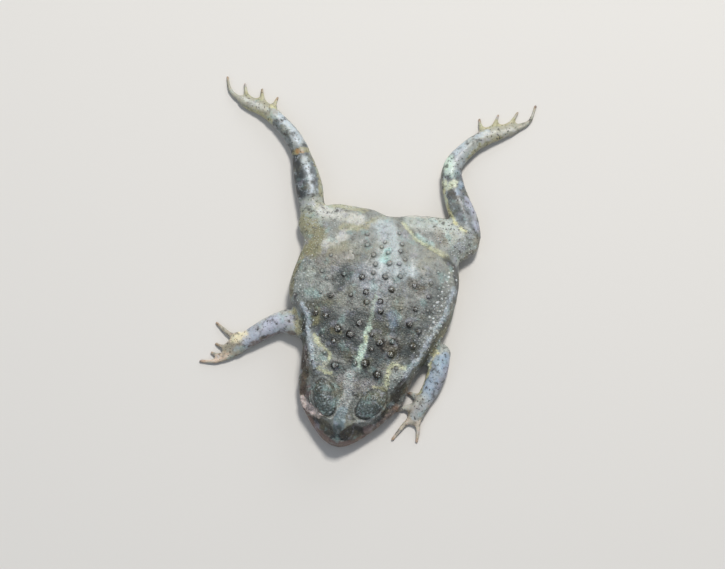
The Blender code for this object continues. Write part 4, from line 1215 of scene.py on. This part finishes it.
# %% Strokes over the legs and arms
LEG_PAINT = {
    "right thigh's rear edge": (((-24.5, 24.5), (-17.5, 26.2), (-9.5, 26.2)), 1.2, STRAW, 0.5),
    "right knee": (((-27.0, 18.5), (-22.5, 15.0), (-22.0, 9.5)), 3.4, OLIVE, 0.8),
    "right thigh's low fold": (((-12.8, 12.7), (-16.9, 9.2)), 2.2, OLIVE, 0.45),
    "right thigh's pale band": (((-22.6, 23.0), (-16.0, 22.6), (-10.4, 22.4)), 2.1, SHELL * 0.94, 0.95),
    "right thigh's pale spot": (((-19.0, 11.6), (-16.4, 13.2), (-13.6, 15.6)), 1.5, SHELL * 0.94, 0.95),
    "right fold": (((-3.0, 25.0), (-9.4, 19.8), (-14.8, 18.6)), 1.3, STRAW * 1.05, 0.45),
    "left thigh": (((5.5, 25.5), (17.5, 27.0)), 2.4, PALE * 1.12, 0.8),
    "left thigh's rear edge": (((0.8, 28.4), (6.7, 27.9), (14.0, 28.8)), 0.7, SHELL, 0.9),
    "left thigh's brown": (((14.6, 24.6), (17.6, 21.6)), 1.4, TAUPE, 0.55),
    "left fold's blue": (((8.5, 21.0), (13.8, 19.4)), 1.1, AQUA, 0.6),
    "left fold": (((3.4, 24.7), (8.5, 20.2), (14.4, 18.1), (19.6, 16.6)), 0.8, tone(202, 204, 166), 0.6),
    "left knee": (((21.2, 18.8), (24.2, 22.8), (25.4, 26.2)), 2.0, ASH, 0.6),
    "left knee's edge": (((26.0, 19.2), (28.2, 22.8), (27.8, 26.0)), 0.9, TAUPE, 0.7),
    "left knee's spot": (((22.0, 27.4), (23.6, 26.9)), 0.7, LEMON, 0.8),
    # The light and shade strokes of the shanks, tarsi, right forearm and right foot are painted highlights
    # and painted shade.
    "right shank's painted shade": (((-36.2, 39.6), (-33.8, 34.6), (-30.8, 27.6)), 2.2, CHARCOAL * 0.8, 0.88),
    "right shank's painted highlight": (((-32.2, 39.0), (-29.2, 33.6), (-27.2, 28.8)), 0.9, ICE, 0.9),
    "right shank's edge": (((-30.2, 41.4), (-26.8, 35.6), (-24.2, 28.6)), 0.7, STRAW, 0.6),
    "right ankle": (((-35.8, 40.6), (-31.0, 42.8)), 1.0, OLIVE * 1.15, 0.95),
    "right ankle's stain": (((-35.2, 41.0), (-33.6, 41.2)), 0.7, RUST, 0.75),
    "right tarsus, painted shade": (((-37.4, 42.4), (-40.2, 46.0), (-44.0, 49.0)), 1.0, SLATE, 0.8),
    "right tarsus, painted highlight": (((-35.4, 44.4), (-39.0, 48.4), (-43.4, 51.6)), 1.1, ICE, 0.85),
    "right foot's edge": (((-45.6, 49.0), (-50.4, 51.2), (-56.0, 52.0)), 0.7, STRAW, 0.95),
    "right foot's painted highlight": (((-47.8, 52.8), (-52.2, 53.6), (-56.6, 55.2)), 0.8, SHELL, 0.8),
    "right foot's web": (((-46.5, 56.0), (-51.0, 57.0), (-57.5, 57.5)), 1.5, STRAW, 0.7),
    "right foot's tubercle": (((-47.0, 54.4), (-45.6, 53.9)), 0.5, LEMON, 1.0),
    "left shank's mint": (((12.6, 49.3), (14.2, 45.6)), 1.9, MINT, 0.8),
    "left shank's yellow": (((13.2, 41.5), (15.0, 39.8), (16.2, 41.8)), 1.2, tone(220, 226, 196), 0.9),
    "left shank's blue": (((18.6, 42.0), (18.0, 38.8)), 0.9, SKY, 0.6),
    "left shank's dark spot": (((16.0, 38.0), (18.4, 37.0)), 1.0, PEAT, 0.75),
    "left shank's painted shade": (((20.2, 36.6), (19.0, 32.4)), 1.3, SLATE, 0.75),
    "left shank's inner edge": (((13.4, 38.8), (15.8, 33.4), (20.2, 28.4)), 0.7, LEMON * 0.9, 0.95),
    "left shank's painted highlight": (((21.4, 38.0), (24.4, 34.0), (27.0, 29.0)), 1.1, LAVENDER * 1.2, 0.8),
    "left tarsus, painted highlight": (((14.5, 52.2), (17.9, 57.4), (23.2, 61.0)), 1.1, ICE, 0.8),
    "left tarsus's edge": (((18.6, 51.0), (22.2, 56.2), (27.2, 60.2)), 0.7, STRAW, 0.75),
    "left foot's line": (((22.6, 60.8), (26.8, 62.0), (31.0, 64.4)), 0.55, SHELL, 0.9),
    "left foot's web": (((21.0, 63.2), (25.0, 65.2), (30.0, 67.8)), 1.5, STRAW, 0.7),
    "right elbow": (((-24.2, -10.4), (-22.0, -14.4), (-21.0, -16.8)), 0.9, STRAW, 0.8),
    "right armpit": (((-20.8, -12.4), (-19.8, -17.0)), 0.8, MOSS, 0.9),
    "right forearm": (((-33.4, -18.6), (-28.5, -15.0), (-24.8, -13.8)), 1.9, LAVENDER * 1.3, 0.75),
    "right forearm's painted highlight": (((-34.0, -15.6), (-30.0, -12.4), (-26.2, -10.8)), 0.7, SHELL, 0.6),
    "right forearm's painted shade": (((-35.4, -24.4), (-31.0, -20.8), (-26.4, -17.6), (-22.0, -17.6)), 0.7,
                              UMBER, 0.75),
    "right palm": (((-40.6, -22.6), (-38.0, -21.0)), 1.7, tone(238, 226, 190), 0.9),
    "left forearm": (((25.8, -14.4), (24.0, -20.8), (22.8, -26.8)), 1.9, tone(160, 182, 204), 0.7),
    "left forearm's outer side": (((28.0, -15.0), (27.2, -21.0), (25.6, -26.5)), 0.9, LAVENDER * 0.85, 0.7),
    "left elbow's fold": (((23.2, -13.2), (21.8, -17.6), (21.6, -21.0), (20.6, -26.6)), 0.45, LEMON, 0.9),
    "left hand": (((22.6, -28.6), (21.2, -34.0)), 1.9, ICE, 0.7),
    "left fingers": (((19.4, -36.0), (16.2, -41.4)), 1.3, FINGER, 0.8),
    "left outer finger": (((22.6, -36.0), (23.2, -41.0)), 1.3, FINGER, 0.8),
    "left inner fingers": (((21.6, -29.0), (17.4, -27.8)), 1.3, SHELL * 0.9, 0.8),
    "left second finger": (((21.0, -30.4), (15.4, -33.0)), 1.2, SHELL * 0.9, 0.8),
    "right fingers": (((-42.0, -28.4), (-45.0, -30.4), (-48.0, -31.4)), 1.3, tone(220, 196, 174), 0.8),
    "right hand": (((-39.0, -25.0), (-41.4, -25.6)), 1.5, TAUPE * 1.3, 0.6),
}
print(len(LEG_PAINT), "strokes over the legs and arms")

# %% Lay the ground colours and the strokes
GROUND_PASSES = 14
SLIM = 1.3  # strokes slimmer than this are broken up
BLURS = {"legs": 1.0, "back": 1.0, "head": 0.55}  # how frayed the edges of the strokes are

points = read_points(skin)
normals = read_normals(skin)
shares = {name: evened(owned_by(owners, name), edges, GROUND_PASSES) for name in SOLID_COLOURS}
total = sum(shares.values())
colour = sum(shares[name][:, None] * SOLID_COLOURS[name] for name in SOLID_COLOURS) / total[:, None]


def blend_in(colour, other, share):
    """One colour with a share of another over it, point by point."""
    return colour * (1 - share[:, None]) + other * share[:, None]


def wandering(points, seed):
    """Noise in two sizes that frays the edge of a stroke."""
    return grain(points, 1.6, seed) * 0.7 + grain(points, 0.7, seed + 1) * 0.45


wavered = points.copy()
wavered[:, :2] += np.stack((wandering(points, 20), wandering(points, 30)), axis=1)
above = step(normals[:, 2], -0.15, 0.25)
patchy = 1 - 0.35 * step(grain(points, 0.9, 41.0), 0.05, 0.5)
for part, table in (("legs", LEG_PAINT), ("back", BACK_PAINT), ("head", HEAD_PAINT)):
    blur = BLURS[part]
    frayed = points + (wavered - points) * blur
    for line, width, other, strength in table.values():
        away = line_distance(frayed, line)
        cover = strength * (1 - step(away, width * (1 - blur / 2), width * (1 + blur / 3)))
        broken = width < SLIM and part != "head"
        colour = blend_in(colour, other, cover * above * (patchy if broken else 1))
print(len(BACK_PAINT) + len(HEAD_PAINT) + len(LEG_PAINT), "strokes painted")

# %% Paint the lids, with painted shade and light
LID_FRONT_WITH_PAINTED_LIGHT = tone(92, 103, 100)
LID_REAR_WITH_PAINTED_SHADE = tone(62, 71, 67)

lid_mottle = grain(points, 0.55, 51.0)
lid_lines = grain(points, 1.1, 52.0)
lid_cover = np.zeros(len(points))
high = step(points[:, 2], 8.4, 9.2)
for side in LIDS:
    long, from_middle = on_lid(wavered * 0.3 + points * 0.7, side)
    lid = (1 - step(from_middle, 0.92, 1.0)) * high
    lid_cover += lid
    # Each lid is dark all over. Its rear half is painted darker and its front half lighter: painted shade and
    # painted light against the key light from behind, so that the bulging lid looks evenly dark.
    colour = blend_in(colour, LID_REAR_WITH_PAINTED_SHADE, lid * 0.95)
    colour = blend_in(colour, LID_FRONT_WITH_PAINTED_LIGHT, lid * (1 - step(long, -0.7, 0.4)) * 0.9)
    colour = blend_in(colour, ICE, lid * step(lid_mottle, 0.12, 0.4) * 0.4)
    colour = blend_in(colour, BLACK, lid * (1 - step(np.abs(lid_lines), 0.02, 0.12)) * 0.75)
    # The black line round each lid is painted shade in the groove there.
    colour = blend_in(colour, BLACK, bell(from_middle - 1.02, 0.05) * high * 0.75)
    colour = blend_in(colour, STONE, bell(from_middle - 1.14, 0.06) * high * patchy * 0.5)
print("lids dark with pale rims")

# %% Paint the lips, the throat and the belly
LIP_COLOUR = tone(128, 104, 92)
MOUTH_GROOVE_SHADE = tone(48, 34, 28)
THROAT_COLOUR = tone(168, 150, 132)
BELLY_COLOUR = tone(206, 200, 182)
BELOW_COVER = 0.85

lip = bell(points[:, 2] - mouth_height(points[:, 1]) - 0.5, 1.3) * crown * (1 - above * 0.4)
colour = blend_in(colour, LIP_COLOUR, lip * 0.75)
# The mouth's groove is painted near black: painted shade in the groove.
groove = bell(points[:, 2] - mouth_height(points[:, 1]), 0.22) * lips
colour = blend_in(colour, MOUTH_GROOVE_SHADE, groove * 0.8)
below = (1 - step(normals[:, 2], -0.55, -0.1)) * BELOW_COVER
throat = step(-points[:, 1], 26.0, 30.0)
colour = blend_in(colour, BELLY_COLOUR, below * (1 - throat))
colour = blend_in(colour, THROAT_COLOUR, below * throat)
print("lips, throat and belly painted")

# %% Dark rings round the warts, horn at the tips of fingers and toes
DIGIT_TIPS = (
    (-47.4, -18.8), (-46.0, -25.4), (-46.8, -28.5), (-49.6, -31.9),
    (17.1, -27.4), (14.8, -33.6), (15.5, -42.7), (23.1, -41.7),
    (-45.7, 58.0), (-51.3, 59.6), (-57.1, 60.1), (-63.1, 61.1),
    (19.6, 65.6), (25.2, 68.3), (31.1, 70.6), (36.3, 74.0),
)
TIP_COLOUR = tone(170, 128, 96)
TIP_COVER = 0.5

for x, y, radius, dark in WARTS:
    ring = (0.3 + 0.4 * dark) * (1 - step(flat_distance(points, x, y), radius * 0.9, radius * 1.3))
    colour = blend_in(colour, BLACK, ring * above * (points[:, 2] > 3))
tip = np.zeros(len(points))
for x, y in DIGIT_TIPS:
    tip = np.maximum(tip, 1 - step(flat_distance(points, x, y), 0.3, 1.8))
colour = blend_in(colour, TIP_COLOUR, tip * TIP_COVER)
print(len(WARTS), "rings and", len(DIGIT_TIPS), "tips")

# %% [markdown]
# ### Marks for the finish
#
# A colour alone doesn't tell the finish what kind of skin it lies on. So each point also keeps
# four numbers from 0 to 1: how horny, flecked, coarse and marbled the skin is there. The back is
# coarse, the limbs are marbled, and only warts and dark tubercles have horn.

# %% Keep the paint and the marks on the mesh


def keep_colour(obj, colour, **marks):
    """Stores the paint on the mesh, and numbers from 0 to 1 that the finish reads."""
    full = np.concatenate((np.clip(colour, 0, 1), np.ones((len(colour), 1))), axis=1)
    layer = obj.data.attributes.new("paint", "FLOAT_COLOR", "POINT")
    layer.data.foreach_set("color", full.astype(np.float32).ravel())
    for name, values in marks.items():
        layer = obj.data.attributes.new(name, "FLOAT", "POINT")
        layer.data.foreach_set("value", np.asarray(values, np.float32))


body = np.clip(shares["trunk"] + shares["head"] + shares["lower_jaw"], 0, 1)
fleck = 0.3 + 0.45 * (1 - body) + 0.6 * np.clip(gland_mask(points), 0, 1)
coarse = 0.3 + 0.7 * np.clip(shares["trunk"] + shares["head"] + gland_mask(points) * 0.4, 0, 1)
coarse *= 1 - 0.5 * step(points[:, 1], 2.0, 10.0)
coarse *= (1 - 0.7 * step(-points[:, 1], 40.5, 43.0)) * (1 - 0.5 * lid_cover)
ends = np.clip(shares["hand"] + shares["foot"], 0, 1)
marble = np.clip(1 - body - 0.6 * ends, 0, 1)
keep_colour(skin, colour, horn=np.zeros(len(points)), fleck=fleck, coarse=coarse, marble=marble)
print("the skin keeps its paint and four marks")

# %% Colour the warts and the tubercles from the skin that they stand on
WART_BROWN = tone(74, 68, 54)
WART_PALE = tone(192, 196, 192)
GRAIN_FLECK = 0.4
GRAIN_COARSE = 0.5

skin_tree = KDTree(len(points))
for number, point in enumerate(points):
    skin_tree.insert(point, number)
skin_tree.balance()
chance = np.random.default_rng(5)
for crop, obj in ((warts, warts_piece), (tubercles, tubercles_piece)):
    nearest = [skin_tree.find(base)[1] for base in crop.base]
    ground = colour[nearest]
    tint = np.array(crop.tint)
    height = np.array(crop.height)
    radial = np.array(crop.radial)
    deep = np.clip(tint, 0, 1)
    horny = step(deep, 0.5, 0.8)
    domed = step(deep, 0.1, 0.3) * (1 - horny) * (obj is warts_piece)
    ringed = np.maximum(step(radial, 0.6, 0.9), 0.8 * (1 - step(radial, 0.12, 0.35)))
    shown = blend_in(ground, WART_PALE, domed * 0.5)
    shown = blend_in(shown, WART_BROWN, horny * 0.85)
    shown = blend_in(shown, BLACK, ringed * np.maximum(deep, domed * 0.7) * 0.9)
    # White points on the tops of the dark warts are painted glints of light.
    painted_glints_on_warts = (chance.random(len(tint)) > 0.8) * step(height, 0.2, 0.45)
    shown = blend_in(shown, WHITE, painted_glints_on_warts * horny * 0.8)
    shown = blend_in(shown, WHITE, np.clip(-tint, 0, 1) * step(height, -0.1, 0.4))
    keep_colour(obj, shown, horn=deep, fleck=fleck[nearest] * GRAIN_FLECK,
                coarse=coarse[nearest] * GRAIN_COARSE, marble=np.zeros(len(tint)))
print("warts and tubercles coloured")

# %% [markdown]
# ## The finish of the skin
#
# Toad skin is moist and grainy. Each tiny grain catches the light and the gaps between them lie in
# shade. The finish paints that light and shade into the colour as well as into the bump, and a
# thin wet film gives soft highlights. One finish serves the skin, the warts and the tubercles. It
# takes the paint from the mesh and adds mottling, grains, flecks, painted highlights and painted
# glints as patterns in space, so that it matches where the pieces meet.

# %% Helpers for materials
MIX_SHARE = 0
MIX_COLOURS = (6, 7)
MIX_RESULT = 2


class Finish:
    """A new material, with short ways to add and join its nodes."""

    def __init__(self, name):
        self.material = bpy.data.materials.new(name)
        self.material.use_nodes = True
        self.tree = self.material.node_tree
        self.shader = self.tree.nodes["Principled BSDF"]

    def node(self, kind, inputs=None, **settings):
        """Adds a node. An input is given a value, or the output of another node."""
        made = self.tree.nodes.new(kind)
        for name, value in settings.items():
            setattr(made, name, value)
        for name, value in (inputs or {}).items():
            if isinstance(value, bpy.types.NodeSocket):
                self.tree.links.new(value, made.inputs[name])
            else:
                made.inputs[name].default_value = value
        return made

    def link(self, value, socket):
        self.tree.links.new(value, self.shader.inputs[socket])

    def spread(self, value, low, high, to_low, to_high):
        """Takes a value from one range to another and stops at its ends."""
        made = self.node("ShaderNodeMapRange", {
            "Value": value, "From Min": low, "From Max": high, "To Min": to_low, "To Max": to_high})
        return made.outputs["Result"]

    def rise(self, value, low, high, most=1.0):
        """Nothing where the value is at low, and the most where it is at high."""
        return self.spread(value, low, high, 0.0, most)

    def math(self, operation, first, second):
        return self.node("ShaderNodeMath", {0: first, 1: second}, operation=operation).outputs[0]

    def times(self, first, second):
        return self.math("MULTIPLY", first, second)

    def scaled(self, colour, factor):
        """A colour made lighter or darker by a factor."""
        made = self.node("ShaderNodeVectorMath", {0: colour}, operation="SCALE")
        self.tree.links.new(factor, made.inputs["Scale"])
        return made.outputs[0]

    def mixed(self, share, first, second):
        """One colour with a share of a second over it."""
        inputs = {MIX_SHARE: share, MIX_COLOURS[0]: first, MIX_COLOURS[1]: second}
        return self.node("ShaderNodeMix", inputs, data_type="RGBA").outputs[MIX_RESULT]


print("a Mix node keeps its colour sockets at", MIX_COLOURS)

# %% Mix the skin's finish
PER_MM = 1000.0
# how large the clouds of a tint are, where they begin and are full, their share and the tint
TINTS = (
    (6.0, 0.50, 0.66, 0.3, OLIVE),
    (4.4, 0.42, 0.32, 0.4, AQUA * 0.8),
    (3.4, 0.56, 0.68, 0.35, LAVENDER),
)
CELL_MM = 0.62
BUMP_STRENGTH = 0.85
BUMP_METRES = 0.00026
SHEEN = {
    "Coat Weight": 0.12,
    "Coat Roughness": 0.25,
    "Subsurface Weight": 0.05,
    "Subsurface Scale": 0.001,
}


def light(colour):
    """A colour as a node takes it, with nothing see-through."""
    return (*[float(c) for c in colour], 1.0)


def skin_finish():
    finish = Finish("moist toad skin")
    place = finish.node("ShaderNodeTexCoord").outputs["Object"]

    def mark(name, output="Fac"):
        return finish.node("ShaderNodeAttribute", attribute_name=name).outputs[output]

    def cloud(size_mm, detail=3.0, roughness=0.55):
        inputs = {"Vector": place, "Scale": PER_MM / size_mm, "Detail": detail, "Roughness": roughness}
        return finish.node("ShaderNodeTexNoise", inputs).outputs["Fac"]

    def faded(factor, share):
        """A factor drawn back towards one, as far as the share falls short of one."""
        change = finish.times(finish.math("SUBTRACT", factor, 1.0), share)
        return finish.math("ADD", change, 1.0)

    colour = mark("paint", "Color")
    coarse = mark("coarse")
    marble = mark("marble")
    blotches = cloud(1.8, 5.0, 0.62)
    dust = cloud(0.5, 2.0)
    cells = finish.node("ShaderNodeTexVoronoi", {"Vector": place, "Scale": PER_MM / CELL_MM})
    grains = cells.outputs["Distance"]
    for size_mm, low, high, most, tint in TINTS:
        colour = finish.mixed(finish.rise(cloud(size_mm), low, high, most), colour, light(tint))
    tarnish = finish.times(finish.rise(blotches, 0.52, 0.66, 0.62), marble)
    colour = finish.mixed(tarnish, colour, light(CHARCOAL))
    # Pale patches on the limbs are painted highlights.
    gleam = finish.times(finish.rise(blotches, 0.44, 0.34, 0.45), marble)
    colour = finish.mixed(gleam, colour, light(ICE))
    colour = finish.mixed(finish.rise(blotches, 0.56, 0.72, 0.5), colour, light(PEAT * 0.8))
    shade = faded(finish.spread(blotches, 0.32, 0.62, 1.18, 0.62), coarse)
    # The grains' middles are painted lighter and the gaps between them darker: painted light and shade, as
    # well as the bump.
    shade = finish.times(shade, faded(finish.spread(grains, 0.1, 0.62, 1.07, 0.82), coarse))
    shade = finish.times(shade, finish.spread(dust, 0.3, 0.7, 0.95, 1.04))
    colour = finish.scaled(colour, shade)
    spots = finish.times(finish.rise(cloud(0.8, 1.0), 0.64, 0.68), mark("fleck"))
    colour = finish.mixed(spots, colour, light(BLACK * 1.2))
    # White specks painted into the colour: painted glints of light, and pale tips of grains.
    glints = finish.times(finish.rise(cloud(0.6, 1.0), 0.32, 0.25, 0.34), coarse)
    colour = finish.mixed(glints, colour, light(WHITE))
    finish.link(colour, "Base Color")

    wet = finish.spread(blotches, 0.35, 0.65, 0.44, 0.62)
    finish.link(finish.math("SUBTRACT", wet, finish.times(mark("horn"), 0.14)), "Roughness")
    height = finish.math("SUBTRACT", finish.times(dust, 0.45), finish.times(grains, coarse))
    inputs = {"Height": height, "Strength": BUMP_STRENGTH, "Distance": BUMP_METRES}
    finish.link(finish.node("ShaderNodeBump", inputs).outputs["Normal"], "Normal")
    for name, value in SHEEN.items():
        finish.shader.inputs[name].default_value = value
    return finish.material


skin_material = skin_finish()
for piece in (skin, warts_piece, tubercles_piece):
    piece.data.materials.clear()
    piece.data.materials.append(skin_material)
print("skin, warts and tubercles share one finish")

# %% [markdown]
# ## The eyes
#
# A toad's iris is copper, veined with black, and its pupil is a level slit. The ball is a sphere
# with a bulge in front for the cornea. Each point keeps its place as the eye itself counts it,
# across, up and out, so the finish can draw the pupil sharp at any size.

# %% Model the eyeballs
CORNEA_REACH = 1.56
CORNEA_BULGE = 0.16


def model_eye(side):
    """A ball that looks out between the lids, each point of which knows its place on the eye."""
    centre, out, across, up = gaze_frame(side)
    deselect()
    bpy.ops.mesh.primitive_uv_sphere_add(segments=64, ring_count=40, radius=EYE_RADIUS)
    eye = bpy.context.object
    eye.name = "eyeball_" + side
    local = np.array([v.co[:] for v in eye.data.vertices])
    off_axis = np.hypot(local[:, 0], local[:, 1])
    local[:, 2] += CORNEA_BULGE * bell(off_axis, CORNEA_REACH) * (local[:, 2] > 0)
    placed = local @ np.stack((across, up, out)) + centre
    write_points(eye, placed)
    layer = eye.data.attributes.new("from_pupil", "FLOAT_VECTOR", "POINT")
    layer.data.foreach_set("vector", local.astype(np.float32).ravel())
    bpy.ops.object.shade_smooth()
    return eye


eyes = {side: model_eye(side) for side in LIDS}
print("eyeballs:", list(eyes))

# %% Finish the eyes
PUPIL_WIDE = 1.15
PUPIL_TALL = 0.5
PUPIL = tone(8, 6, 5)
PUPIL_RIM = tone(214, 168, 92)
COPPER = tone(164, 112, 56)
VEIN = tone(52, 30, 16)
VEINS = {"Scale": 3.2, "Detail": 5.0, "Roughness": 0.7}
GLOSS = {"Roughness": 0.12, "Coat Weight": 1.0, "Coat Roughness": 0.03}


def eye_finish():
    finish = Finish("copper eye")
    local = finish.node("ShaderNodeAttribute", attribute_name="from_pupil").outputs["Vector"]
    split = finish.node("ShaderNodeSeparateXYZ", {0: local}).outputs
    wide = finish.math("DIVIDE", split["X"], PUPIL_WIDE)
    tall = finish.math("DIVIDE", split["Y"], PUPIL_TALL)
    from_pupil = finish.math("ADD", finish.math("POWER", wide, 2.0), finish.math("POWER", tall, 2.0))
    veins = finish.node("ShaderNodeTexNoise", {"Vector": local, **VEINS}).outputs["Fac"]
    iris = finish.mixed(finish.rise(veins, 0.42, 0.6), light(COPPER), light(VEIN))
    ringed = finish.mixed(finish.spread(from_pupil, 1.5, 2.4, 1.0, 0.0), iris, light(PUPIL_RIM))
    colour = finish.mixed(finish.spread(from_pupil, 0.95, 1.15, 1.0, 0.0), ringed, light(PUPIL))
    finish.link(colour, "Base Color")
    for name, value in GLOSS.items():
        finish.shader.inputs[name].default_value = value
    return finish.material


eye_material = eye_finish()
for eye in eyes.values():
    eye.data.materials.append(eye_material)
print("eyes finished")

# %% [markdown]
# ## Tell which piece stands for which solid
# ## The pieces ride on the root, in place of the solids
# The toad is one body, so every piece rides on the root. The skin stands for all the flesh, and
# each eyeball for its own solid.

# %% Tie the pieces to the frame
for piece in (skin, warts_piece, tubercles_piece, *eyes.values()):
    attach(piece, "root")
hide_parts(*FLESH)
for side, eye in eyes.items():
    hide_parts("eye_" + side)
print("five pieces ride on the root")

# %% Measure the sizes and finish
low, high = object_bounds()
